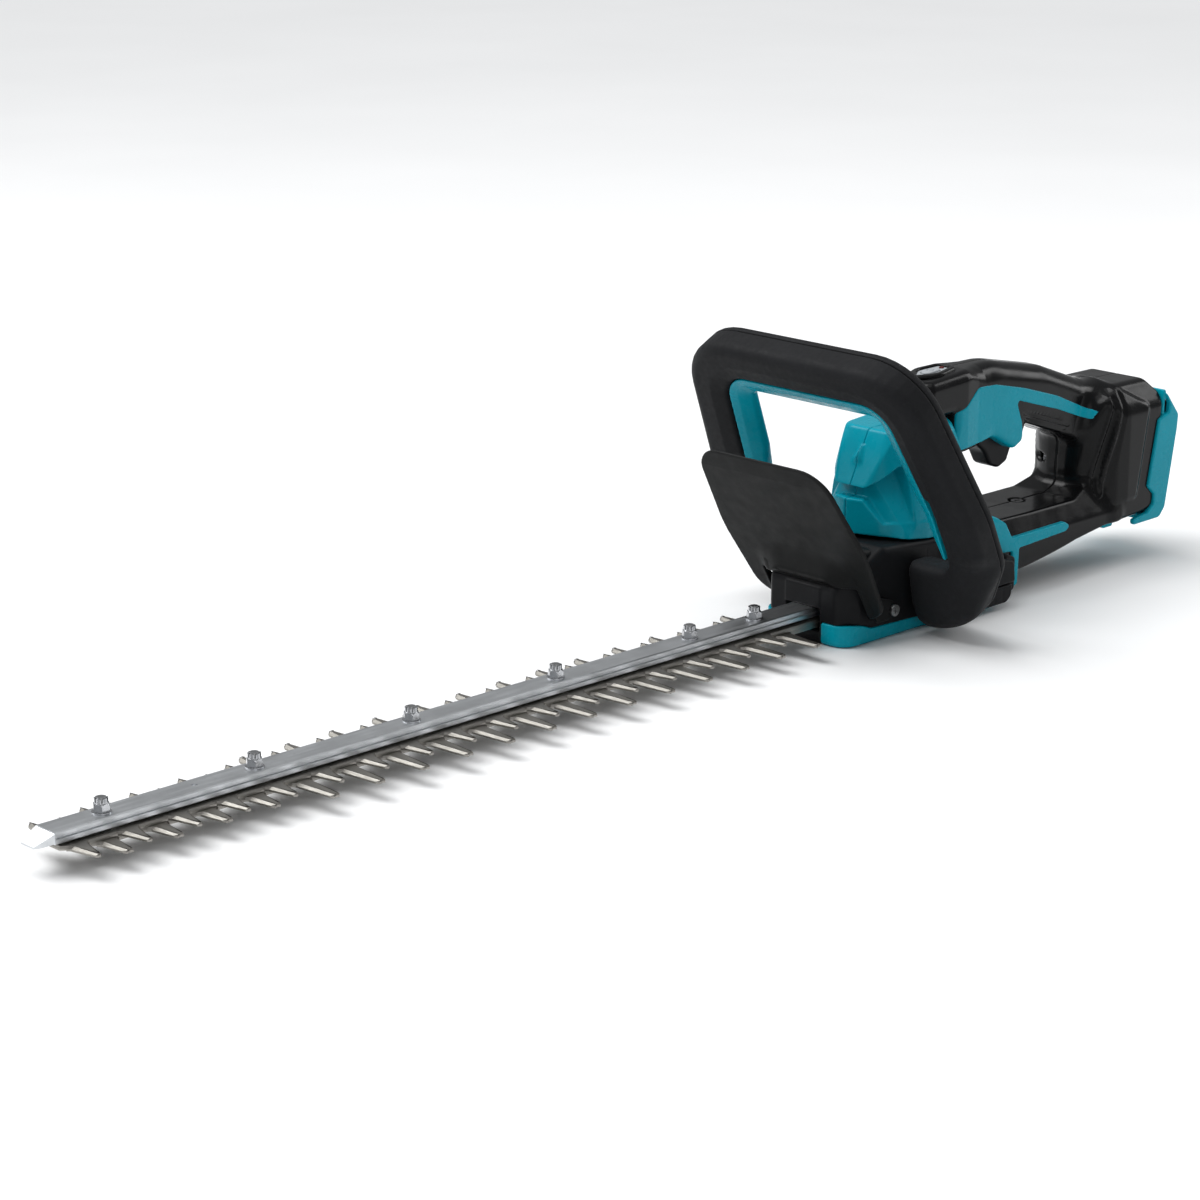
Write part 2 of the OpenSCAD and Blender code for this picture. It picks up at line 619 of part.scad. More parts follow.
module controller() {
    color([0.1, 0.35, 0.2]) raised() block([-262, -26, 44], [-258, 26, 100]);
    color([0.6, 0.6, 0.62]) raised() for (y = [-24:6:24]) block([-258, y - 1, 48], [-246, y + 1, 96]);
}
module rear_foot() {
    color(teal) raised()
        side_prism(rounded([[-224, 24.8, 1], [-238, 24, 1], [-238, 19, 2], [-228, 19, 3]], 3), -26, 26);
}

// ---------- switches ----------
module trigger_switch() {
    color([0.12, 0.12, 0.13]) raised() {
        block([-146, -8, 118.5], [-116, 8, 131]);
        block([-124, -3, 114.5], [-119, 3, 119]);
    }
}
trigger_side = rounded([[-109, 108, 2], [-118, 111, 2], [-144, 104, 2], [-149, 93, 2], [-151.5, 86, 2],
    [-147, 76, 3], [-139, 72.5, 5], [-130, 76, 5], [-124, 86, 10], [-110.5, 96, 3]]);
module trigger() {
    color([0.1, 0.1, 0.11]) raised() difference() {
        union() {
            side_prism(trigger_side, -7.6, 7.6);
            rod_y(trigger_pivot[0], trigger_pivot[2], -7.6, 7.6, 4);
        }
        rod_y(trigger_pivot[0], trigger_pivot[2], -20, 20, 2.05);
        block([-142, -4.5, 92], [-118, 4.5, 130]);
    }
}
module trigger_pin() {
    color([0.7, 0.7, 0.72]) raised() rod_y(trigger_pivot[0], trigger_pivot[2], -13.7, 13.7, 2);
}
module trigger_spring() {
    color([0.6, 0.6, 0.6]) raised() for (i = [0:5]) translate([-133, 0, 106.4 + i * 2.1])
        rotate_extrude($fn = 24) translate([3, 0]) circle(r = 0.5, $fn = 16);
}
function slot_outline(half_l, half_w, r) =
    rounded([[half_l, half_w, r], [-half_l, half_w, r], [-half_l, -half_w, r], [half_l, -half_w, r]]);
almond = rounded([[17, 0, 3], [3, 9.6, 12], [-16, 6, 4], [-16, -6, 4], [3, -9.6, 12]]);
module on_panel() {
    translate(panel_at) rotate([0, panel_tilt, 0]) children();
}
module power_panel() {
    color([0.5, 0.52, 0.54]) raised() on_panel() difference() {
        union() {
            translate([0, 0, 0.6]) linear_extrude(height = 1.4) polygon(almond);
            translate([0, 0, -3]) linear_extrude(height = 3.7) scale([0.82, 0.8]) polygon(almond);
        }
        translate([-1, 0, -5]) linear_extrude(height = 10) polygon(slot_outline(7.3, 4.3, 4.2));
        translate([-11.5, 0, -5]) cylinder(r = 1.6, h = 10);
    }
}
module power_button() {
    color([0.8, 0.8, 0.82]) raised() on_panel() translate([-1, 0, -1.5]) {
        linear_extrude(height = 4) polygon(slot_outline(6.9, 3.9, 3.8));
        translate([0, 0, -0.8]) linear_extrude(height = 1) square([12, 5], center = true);
    }
}
module power_switch() {
    color([0.1, 0.35, 0.2]) raised() on_panel() translate([-1, 0, -5.7]) {
        cube([28, 14, 1.4], center = true);
        translate([0, 0, 1.5]) cube([6, 5, 1.2], center = true);
    }
}
module indicator_light() {
    color([0.9, 0.3, 0.2]) raised() on_panel() translate([-11.5, 0, -2]) cylinder(r = 1.55, h = 4);
}

// ---------- loop handle ----------
loop_outer = mirrored([[88, 75, 40], [105.5, -35, 80], [104, -72, 26], [84, -105, 26], [50, -128, 8]]);
loop_inner = mirrored([[63.5, 49.5, 20], [75, -30, 40], [74, -62, 8], [20, -63, 0]]);
module loop_ring(grow_in, grow_out) {
    difference() {
        offset(delta = grow_out) polygon(rounded(loop_outer, 8));
        offset(delta = grow_in) polygon(rounded(loop_inner, 8));
    }
}
module loop_trim() {
    difference() {
        children();
        // Room for the gear case, the undercover and the motor housing
        block([-110, -case_half_w - 0.3, -40], [70, case_half_w + 0.3, 53]);
        block([-110, -42, 50], [30, 42, 84]);
        block([-200, -200, -60], [200, 200, 1 - datum_h]);
        // The bail's legs swing inside slots
        both_sides() leaning(loop_at, loop_lean) translate([69.5, -97, -loop_half_d + 1])
            cube([8.5, 84, 2 * loop_half_d - 8]);
        leaning(loop_at, loop_lean) {
            for (s = [-1, 1]) translate([s * pin_mid_u - 8.5, lever_pivot_v, -4])
                rotate([0, 90, 0]) cylinder(r = 2.02, h = 17);
            // Pocket of the bail's switch
            translate([77, -62.3, -8.3]) cube([7.5, 16.6, 9.6]);
        }
    }
}
module loop_front() {
    color(black) raised() loop_trim() leaning(loop_at, loop_lean) {
        linear_extrude(height = loop_half_d - 5) loop_ring(0, 0);
        translate([0, 0, loop_half_d - 5 - eps]) linear_extrude(height = 3) loop_ring(2.5, -2.5);
        translate([0, 0, loop_half_d - 2 - 2 * eps]) linear_extrude(height = 2) loop_ring(7, -7);
    }
}
module loop_rear() {
    color([0.1, 0.1, 0.11]) raised() loop_trim() leaning(loop_at, loop_lean) {
        translate([0, 0, -loop_half_d + 5]) linear_extrude(height = loop_half_d - 5.1) loop_ring(0, 0);
        translate([0, 0, -loop_half_d + 2]) linear_extrude(height = 3 + eps) loop_ring(2.5, -2.5);
        translate([0, 0, -loop_half_d]) linear_extrude(height = 2 + eps) loop_ring(7, -7);
    }
}
// Bail inside the loop that the front hand squeezes, hinged at the foot of its two legs
// Height above the loop's middle plane, thickness and inward reach of each layer
bail_layers = [[-8, 3.01, 6], [-5, 3.01, 10], [-2, 5.01, 14], [3, 3.01, 10], [6, 3, 5.5]];
module bail_ring(outer_gap, inner_gap) {
    difference() {
        offset(delta = -outer_gap) polygon(rounded(loop_inner, 8));
        offset(delta = -inner_gap) polygon(rounded(loop_inner, 8));
        translate([-100, -200]) square([200, 200 + bail_end_v]);
        translate([-58, -200]) square([116, 220]);
    }
}
module loop_lever() {
    color(teal) raised() leaning(loop_at, loop_lean) difference() {
        union() {
            for (layer = bail_layers) translate([0, 0, layer[0]])
                linear_extrude(height = layer[1]) bail_ring(0.8, layer[2]);
            for (s = [-1, 1]) translate([s * bail_leg_u - 1.6, lever_pivot_v, 0]) {
                translate([0, 0, -8]) cube([3.2, bail_end_v - lever_pivot_v + 1, 8]);
                translate([0, 0, -4]) rotate([0, 90, 0]) cylinder(r = 5, h = 3.2);
            }
        }
        translate([-100, lever_pivot_v, -4]) rotate([0, 90, 0]) cylinder(r = 2.05, h = 200);
    }
}
module lever_pins() {
    color([0.7, 0.7, 0.72]) raised() leaning(loop_at, loop_lean) for (s = [-1, 1])
        translate([s * pin_mid_u - 8, lever_pivot_v, -4]) rotate([0, 90, 0]) cylinder(r = 2, h = 16);
}
module lever_switch() {
    color([0.12, 0.12, 0.13]) raised() leaning(loop_at, loop_lean)
        translate([bail_leg_u + 5.6, -62, -8]) cube([7, 16, 9]);
}
module lever_springs() {
    color([0.6, 0.6, 0.6]) raised() leaning(loop_at, loop_lean) for (s = [-1, 1], i = [0:1])
        translate([s * (bail_leg_u + 2.6 + i * 1.2), lever_pivot_v, -4]) rotate([0, 90, 0])
        rotate_extrude($fn = 24) translate([3.2, 0]) circle(r = 0.5, $fn = 16);
}
// Ribbed sockets that tie the loop's feet to the body
foot_side = rounded([[-30, -1.5, 2], [-62, 38, 4], [-100, 35, 4], [-117.5, 28, 2], [-117.5, 2, 3],
    [-110, -1.5, 2]], 4);
foot_hook_side = rounded([[-106, 4, 2], [-106, 33, 2], [-117.5, 27, 2], [-117.5, 4, 2]], 4);
module loop_feet() {
    color([0.09, 0.09, 0.1]) raised() both_sides() difference() {
        union() {
            side_prism(foot_side, case_half_w + 0.3, 47);
            side_prism(foot_hook_side, 35.3, case_half_w + 0.4);
        }
        leaning(loop_at, loop_lean) translate([-200, -200, -loop_half_d - 0.2]) cube([400, 400, 200]);
        for (x = [-112:6:-64]) block([x, 45.6, -5], [x + 2, 60, 60]);
    }
}

// ---------- hand guard ----------
guard_at = [13, 0, 8];
guard_cheek = rounded([[26, 9, 3], [34, 28, 3], [40, 48, 4], [22, 44, 8], [-5, 22, 5], [-5, 9, 4]]);
guard_outline = rounded(mirrored([[50.5, 126, 20], [58, 62, 80], [51, 9, 16], [24, 5, 4]]), 6);
module hand_guard() {
    color([0.08, 0.08, 0.085]) raised() difference() {
        union() {
            leaning(guard_at, guard_lean) {
                linear_extrude(height = 3) polygon(guard_outline);
                // Stiffening ribs on the back
                for (s = [-1, 1]) translate([s * 30 - 1, 40, -4]) cube([2, 50, 4.1]);
            }
            // Cheeks that are screwed to the sides of the gear case
            both_sides() side_prism(guard_cheek, 38.4, 41);
        }
        block([-40, -38.3, 0], [80, 38.3, 33.2]);
        intersection() {
            side_prism([for (p = case_side) [p[0] + 0.3, p[1] + 0.3]], -case_half_w - 0.3, case_half_w + 0.3);
            block([-60, -60, 0], [80, 60, 60]);
        }
        block([-40, -80, -40], [80, 80, base_top + 0.4]);
        leaning(loop_at, loop_lean) translate([-200, -200, -60]) cube([400, 400, loop_half_d + 60.4]);
        for (s = [-1, 1]) translate([guard_screw_at[0], s * 36, guard_screw_at[1]])
            rotate([-s * 90, 0, 0]) cylinder(r = 2, h = 10);
    }
}
module guard_screws() {
    color([0.55, 0.56, 0.58]) raised() for (s = [-1, 1])
        translate([guard_screw_at[0], s * 41.05, guard_screw_at[1]])
        rotate([-s * 90, 0, 0]) difference() {
        union() {
            cylinder(r = 3.6, h = 2);
            translate([0, 0, -10]) cylinder(r = 1.9, h = 10.5);
        }
        translate([-2, -0.4, 1]) cube([4, 0.8, 2]);
        translate([-0.4, -2, 1]) cube([0.8, 4, 2]);
    }
}

// ---------- fasteners and wiring ----------
housing_screw_at = [[-13, 66], [-86, 66], [-86, 84]];
handle_screw_at = [[-92, 130], [-164, 112], [-206, 100], [-212, 64]];
module side_screw(p, depth) {
    rod_y(p[0], p[1], -depth + 1, depth - 2, 1.5);
    difference() {
        rod_y(p[0], p[1], -depth - 0.6, -depth + 1.9, 3);
        translate([p[0], -depth - 1, p[1]]) cube([4, 2, 0.9], center = true);
        translate([p[0], -depth - 1, p[1]]) cube([0.9, 2, 4], center = true);
    }
}
module housing_screws() {
    color([0.25, 0.25, 0.27]) raised() for (p = housing_screw_at) side_screw(p, 16);
}
module handle_screws() {
    color([0.25, 0.25, 0.27]) raised() for (p = handle_screw_at) side_screw(p, 11);
    color([0.25, 0.25, 0.27]) raised() difference() {
        union() {
            disc(beam_screw_x, 0, 30, 43, 1.95);
            disc(beam_screw_x, 0, 42.6, 44.6, 4);
        }
        translate([beam_screw_x, 0, 44.5]) cube([5, 0.9, 2], center = true);
        translate([beam_screw_x, 0, 44.5]) cube([0.9, 5, 2], center = true);
    }
}
module lead(a, b, r) {
    hull() {
        translate(a) sphere(r = r, $fn = 16);
        translate(b) sphere(r = r, $fn = 16);
    }
}
module battery_lead(y) {
    lead([-256, y, 42], [-216, y, 36], 1.6);
    lead([-216, y, 36], [-112, y, 30], 1.6);
}
module battery_leads() {
    color([0.75, 0.1, 0.1]) raised() battery_lead(-8);
    color([0.1, 0.1, 0.1]) raised() battery_lead(8);
}
module motor_leads() {
    color([0.15, 0.15, 0.6]) raised() for (y = [-14, 0, 14])
        lead([-79.4, y, 54], [-79.4, y, 84], 1.3);
}

guide_bar();
upper_blade();
lower_blade();
blade_bolts();
bolt_sleeves();
bolt_washers();
dome_nuts();
bar_screws();
felt_pad();
gear_case();
undercover();
undercover_screws();
crank_gear();
crank_bearings();
motor_rotor();
motor_pinion();
cooling_fan();
motor_bearings();
motor_stator();
stator_coils();
motor_housing_left();
motor_housing_right();
handle_housing_left();
handle_housing_right();
grip_trim_left();
grip_trim_right();
beam_belt_left();
beam_belt_right();
rear_frame();
battery_rails();
terminal_block();
terminals();
controller();
trigger_switch();
trigger();
trigger_pin();
trigger_spring();
power_panel();
power_button();
power_switch();
indicator_light();
loop_front();
loop_rear();
loop_lever();
lever_pins();
lever_switch();
lever_springs();
loop_feet();
hand_guard();
guard_screws();
housing_screws();
handle_screws();
battery_leads();
motor_leads();
rear_foot();
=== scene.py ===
"""Looks of the cordless hedge trimmer: moulded shells, ground blades and procedural materials.

Lengths are millimetres until a mesh is made, and metres from there on. The frame is the CAD model's:
X points to the blade's tip, Y to the tool's left and Z up. Heights in this file are measured from the
drive's datum, which lies RAISE above the face that the tool rests on. Each moulded shell is a signed
distance field on a grid, negative inside, which is turned into a quad mesh. A third number in an
outline's point is the radius of that corner.
"""

import json
import math

import bmesh
import bpy
import numpy as np
import openvdb
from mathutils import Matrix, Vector
from mathutils.geometry import tessellate_polygon


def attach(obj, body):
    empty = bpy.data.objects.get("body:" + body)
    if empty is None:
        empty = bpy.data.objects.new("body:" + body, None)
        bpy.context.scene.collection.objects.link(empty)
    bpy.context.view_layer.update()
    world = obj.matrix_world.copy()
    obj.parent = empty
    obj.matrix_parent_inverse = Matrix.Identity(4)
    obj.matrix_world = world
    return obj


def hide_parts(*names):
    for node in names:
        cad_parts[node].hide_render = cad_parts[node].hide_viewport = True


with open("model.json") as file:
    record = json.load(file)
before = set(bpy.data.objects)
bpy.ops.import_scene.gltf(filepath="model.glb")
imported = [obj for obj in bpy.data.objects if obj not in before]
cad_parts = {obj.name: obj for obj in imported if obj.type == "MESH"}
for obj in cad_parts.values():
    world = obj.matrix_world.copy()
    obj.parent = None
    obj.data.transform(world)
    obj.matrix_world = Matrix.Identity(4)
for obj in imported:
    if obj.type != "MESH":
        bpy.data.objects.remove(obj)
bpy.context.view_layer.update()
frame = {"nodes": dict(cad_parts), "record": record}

MM = 0.001
RAISE = 5.0
# Origin (x, z) and lean of the loop's plane and of the guard's
LOOP_AT, LOOP_LEAN = (13.0, 110.0), math.radians(27)
GUARD_AT, GUARD_LEAN = (13.0, 8.0), math.radians(31.8)
# Upright axes of the crank and of the motor
CRANK_X, MOTOR_X = -21, -49.75
# Half the gap of the parting line between a left and a right shell
PART_GAP = 0.08


# ---------- signed distance fields ----------
def axes(lo, hi, step):
    """Open grid axes that cover the box from lo to hi with a margin."""
    ranges = [np.arange(lo[i] - 2.5 * step, hi[i] + 3 * step, step, dtype=np.float32) for i in range(3)]
    return ranges[0][:, None, None], ranges[1][None, :, None], ranges[2][None, None, :]


def half_axes(sign, lo, hi, step):
    """Grid axes over one side of the tool, from the corners of the left side's box."""
    y_lo, y_hi = sorted((sign * lo[1], sign * hi[1]))
    return axes((lo[0], y_lo, lo[2]), (hi[0], y_hi, hi[2]), step)


def rounded(points, arc=6):
    """A closed outline whose corners are (x, y, radius)."""
    out = []
    count = len(points)
    for i, (x, y, r) in enumerate(points):
        b = np.array((x, y), float)
        if r <= 0:
            out.append(tuple(b))
            continue
        u = np.array(points[i - 1][:2], float) - b
        w = np.array(points[(i + 1) % count][:2], float) - b
        lu, lw = np.linalg.norm(u), np.linalg.norm(w)
        u, w = u / lu, w / lw
        half = math.acos(max(-1, min(1, float(u @ w)))) / 2
        cut = min(r / math.tan(half), 0.49 * lu, 0.49 * lw)
        r = cut * math.tan(half)
        m = b + (u + w) / np.linalg.norm(u + w) * r / math.sin(half)
        a0 = math.atan2(*(b + u * cut - m)[::-1])
        a1 = math.atan2(*(b + w * cut - m)[::-1])
        turn = (a1 - a0 + math.pi) % (2 * math.pi) - math.pi
        out += [(m[0] + r * math.cos(a0 + turn * k / arc), m[1] + r * math.sin(a0 + turn * k / arc))
                for k in range(arc + 1)]
    return out


def mirrored(points):
    """The outline and its reflection in the second axis."""
    return points + [(-x, y, r) for x, y, r in reversed(points)]


def outline(a, b, points):
    """Signed distance to a closed outline, over two open grid axes."""
    a, b = np.broadcast_arrays(a, b)
    shape = a.shape
    a, b = a.ravel(), b.ravel()
    best = np.full(a.shape, 1e9, np.float32)
    inside = np.zeros(a.shape, bool)
    for (x0, y0), (x1, y1) in zip(points, points[1:] + points[:1]):
        ex, ey = x1 - x0, y1 - y0
        length2 = ex * ex + ey * ey
        if length2 < 1e-9:
            continue
        t = np.clip(((a - x0) * ex + (b - y0) * ey) / length2, 0, 1)
        dx, dy = a - x0 - t * ex, b - y0 - t * ey
        best = np.minimum(best, dx * dx + dy * dy)
        if ey:
            crosses = (y0 > b) != (y1 > b)
            inside ^= crosses & (a < x0 + (b - y0) * ex / ey)
    best = np.sqrt(best)
    return np.where(inside, -best, best).reshape(shape)


def both(a, b, r=0.0):
    """Intersection of two fields, with the edge between them rounded to radius r."""
    if np.ndim(r) == 0 and r <= 0:
        return np.maximum(a, b)
    return np.minimum(np.maximum(a, b), -r) + np.hypot(np.maximum(a + r, 0), np.maximum(b + r, 0))


def either(a, b, r=0.0):
    """Union of two fields, with a fillet of radius r."""
    return -both(-a, -b, r)


def minus(a, b, r=0.0):
    """What is left of a after b is cut from it."""
    return both(a, -b, r)


def slab(a, lo, hi):
    """Between two values of one coordinate."""
    return np.maximum(lo - a, a - hi)


def smooth(t):
    """Smooth step from 0 to 1."""
    t = np.clip(t, 0, 1)
    return t * t * (3 - 2 * t)


def box_field(x, y, z, lo, hi, r=0.0):
    return both(both(slab(x, lo[0], hi[0]), slab(y, lo[1], hi[1]), r), slab(z, lo[2], hi[2]), r)


def facet(x, y, z, point, normal):
    """Half space behind the plane through point, whose normal points out."""
    n = np.array(normal, float)
    n /= np.linalg.norm(n)
    return (x - point[0]) * n[0] + (y - point[1]) * n[1] + (z - point[2]) * n[2]


# ---------- meshes ----------
def to_piece(name, field, grid_axes, step, material, place=None):
    """Turns a field into a smooth quad mesh in metres. place maps local millimetres to the frame."""
    shape = tuple(max(a.shape[i] for a in grid_axes) for i in range(3))
    values = np.ascontiguousarray(np.clip(np.broadcast_to(field, shape), -3 * step, 3 * step), np.float32)
    grid = openvdb.FloatGrid(background=3 * step)
    grid.copyFromArray(values)
    points, quads = grid.convertToQuads(isovalue=0.0)
    start = np.array([float(a.ravel()[0]) for a in grid_axes])
    points = points.astype(np.float64)
    normals = gradients(values, points)
    points = start + points * step
    if place is not None:
        tips = place(points + normals)
        points = place(points)
        normals = tips - points
    points[:, 2] += RAISE
    mesh = bpy.data.meshes.new(name)
    mesh.from_pydata((points * MM).tolist(), [], quads[:, ::-1].tolist())
    mesh.update()
    first = mesh.polygons[0]
    if Vector(normals[first.vertices[0]]).dot(first.normal) < 0:
        mesh.flip_normals()
    mesh.polygons.foreach_set("use_smooth", [True] * len(mesh.polygons))
    normals /= np.maximum(np.linalg.norm(normals, axis=1, keepdims=True), 1e-9)
    mesh.normals_split_custom_set_from_vertices(normals.tolist())
    return link(name, mesh, material)


def gradients(values, points):
    """Field gradient at fractional grid points, by central differences of trilinear samples."""
    def sample(p):
        p = np.clip(p, 0, np.array(values.shape) - 1.001)
        i = np.floor(p).astype(int)
        f = p - i
        total = 0
        for corner in range(8):
            c = np.array([corner & 1, corner >> 1 & 1, corner >> 2 & 1])
            w = np.prod(np.where(c, f, 1 - f), axis=1)
            j = i + c
            total = total + w * values[j[:, 0], j[:, 1], j[:, 2]]
        return total
    out = np.empty(points.shape)
    for k in range(3):
        d = np.zeros(3)
        d[k] = 0.6
        out[:, k] = sample(points + d) - sample(points - d)
    return out


def link(name, mesh, material):
    """Puts a mesh in the scene as an object with that material."""
    made = bpy.data.objects.new(name, mesh)
    bpy.context.scene.collection.objects.link(made)
    mesh.materials.append(material)
    return made


def leaning(at, lean):
    """Local (u, v, w) to the frame: u along Y, v up the leaning plane and w forwards."""
    s, c = math.sin(lean), math.cos(lean)

    def place(p):
        return np.stack([at[0] + p[:, 1] * s + p[:, 2] * c, p[:, 0], at[1] + p[:, 1] * c - p[:, 2] * s], 1)
    return place


def leaning_xz(at, lean, v, w):
    """X and Z of the leaning grid's points."""
    s, c = math.sin(lean), math.cos(lean)
    return at[0] + v * s + w * c, at[1] + v * c - w * s


def leaning_w(at, lean, x, z):
    """Height of a point in front of the leaning plane."""
    return (x - at[0]) * math.cos(lean) - (z - at[1]) * math.sin(lean)


# ---------- materials ----------
class Shader:
    """A Principled material whose noises run in the object's own coordinates."""

    def __init__(self, name, color, rough, metallic=0.0, sheen=0.0):
        self.material = bpy.data.materials.new(name)
        self.material.use_nodes = True
        self.tree = self.material.node_tree
        self.bsdf = self.tree.nodes["Principled BSDF"]
        self.place = self.tree.nodes.new("ShaderNodeTexCoord").outputs["Object"]
        self.color, self.rough = color, rough
        self.set("Base Color", (*color, 1))
        self.set("Roughness", rough)
        self.set("Metallic", metallic)
        self.set("Sheen Weight", sheen)
        self.tint = None
        self.normal = None

    def set(self, socket, value):
        self.bsdf.inputs[socket].default_value = value

    def node(self, kind, inputs=(), **settings):
        made = self.tree.nodes.new("ShaderNode" + kind)
        for key, value in settings.items():
            setattr(made, key, value)
        for key, value in dict(inputs).items():
            if isinstance(value, bpy.types.NodeSocket):
                self.tree.links.new(value, made.inputs[key])
            else:
                made.inputs[key].default_value = value
        return made

    def noise(self, scale, detail=3.0, stretch=(1, 1, 1)):
        moved = self.node("Mapping", {"Vector": self.place, "Scale": stretch})
        inputs = {"Vector": moved.outputs[0], "Scale": scale, "Detail": detail}
        return self.node("TexNoise", inputs).outputs["Fac"]

    def cells(self, scale):
        return self.node("TexVoronoi", {"Vector": self.place, "Scale": scale}).outputs["Distance"]

    def range(self, value, lo, hi, to_lo, to_hi):
        spread = self.node("MapRange", {"Value": value, "From Min": lo, "From Max": hi,
                                        "To Min": to_lo, "To Max": to_hi})
        return spread.outputs["Result"]

    def shade(self, factor, color):
        """Blends towards a colour by a factor."""
        mix = self.node("Mix", data_type="RGBA")
        self.tree.links.new(factor, mix.inputs["Factor"])
        if self.tint is None:
            mix.inputs["A"].default_value = (*self.color, 1)
        else:
            self.tree.links.new(self.tint, mix.inputs["A"])
        mix.inputs["B"].default_value = (*color, 1)
        self.tint = mix.outputs["Result"]
        self.tree.links.new(self.tint, self.bsdf.inputs["Base Color"])

    def vary_rough(self, value, amount):
        low, high = max(0.02, self.rough - amount), min(1, self.rough + amount)
        self.tree.links.new(self.range(value, 0.3, 0.7, low, high), self.bsdf.inputs["Roughness"])

    def bump(self, value, depth, strength=1.0):
        """Raises the surface by a texture. depth is in metres."""
        inputs = {"Height": value, "Distance": depth, "Strength": strength}
        if self.normal is not None:
            inputs["Normal"] = self.normal
        self.normal = self.node("Bump", inputs).outputs["Normal"]
        self.tree.links.new(self.normal, self.bsdf.inputs["Normal"])

    def worn_and_highlit_edges(self, color, start, amount):
        """Rubbed convex edges, lightened also as a painted highlight along them."""
        edge = self.range(self.node("NewGeometry").outputs["Pointiness"], start, start + 0.05, 0, amount)
        patchy = self.range(self.noise(90, 5), 0.35, 0.65, 0.35, 1)
        self.shade(self.node("Math", {0: edge, 1: patchy}, operation="MULTIPLY").outputs[0], color)


def lighter(color, gain, lift=0.0):
    """The colour scaled and lifted, within white."""
    return tuple(min(1.0, c * gain + lift) for c in color)


def plastic(name, color, rough, grain=2600, depth=0.00002, spread=0.12, specular=0.09):
    """Moulded plastic: fine spark grain, cloudy gloss, rubbed edges with a painted edge highlight, and faint
    scuffs.
    """
    shader = Shader(name, color, rough)
    shader.set("Specular IOR Level", specular)
    shader.shade(shader.range(shader.noise(35, 4), 0.3, 0.7, 0, 1), lighter(color, 1 - spread))
    scuffs = shader.noise(260, 6, (1, 1, 0.25))
    shader.shade(shader.range(scuffs, 0.62, 0.8, 0, 0.18), lighter(color, 1.3, 0.03))
    # Convex edges lightened: partly rubbing wear, partly a painted highlight
    shader.worn_and_highlit_edges(lighter(color, 1.5, 0.04), 0.52, 0.25)
    shader.vary_rough(shader.noise(120, 6), 0.06)
    shader.bump(shader.noise(grain, 2), depth)
    shader.bump(shader.noise(28, 2), 0.00012, 0.35)
    return shader.material


def rubber(name, color, rough, scale, depth):
    """Elastomer with a leathery grain and a dry sheen."""
    shader = Shader(name, color, rough, sheen=0.02)
    shader.set("Specular IOR Level", 0.08)
    shader.shade(shader.range(shader.noise(45, 4), 0.3, 0.7, 0, 1), lighter(color, 0.8))
    shader.shade(shader.range(shader.noise(420, 5), 0.6, 0.8, 0, 0.25), lighter(color, 1.7, 0.01))
    # Convex edges lightened: partly rubbing wear, partly a painted highlight
    shader.worn_and_highlit_edges(lighter(color, 1.6, 0.02), 0.52, 0.3)
    shader.vary_rough(shader.noise(300, 4), 0.07)
    shader.bump(shader.cells(scale), depth)
    shader.bump(shader.noise(scale * 2.2, 2), depth * 0.5)
    return shader.material


def metal(name, color, rough, stretch=(1, 1, 1), lines=900, depth=0.000012, stain=0.15):
    """Bare or plated metal with drawing or grinding lines and slight staining."""
    shader = Shader(name, color, rough, metallic=1.0)
    shader.shade(shader.range(shader.noise(50, 5), 0.35, 0.7, 0, 1), lighter(color, 1 - stain))
    shader.shade(shader.range(shader.noise(330, 5), 0.6, 0.8, 0, 0.35), lighter(color, 0.6))
    shader.vary_rough(shader.noise(lines, 3, stretch), 0.07)
    shader.bump(shader.noise(lines, 3, stretch), depth)
    return shader.material


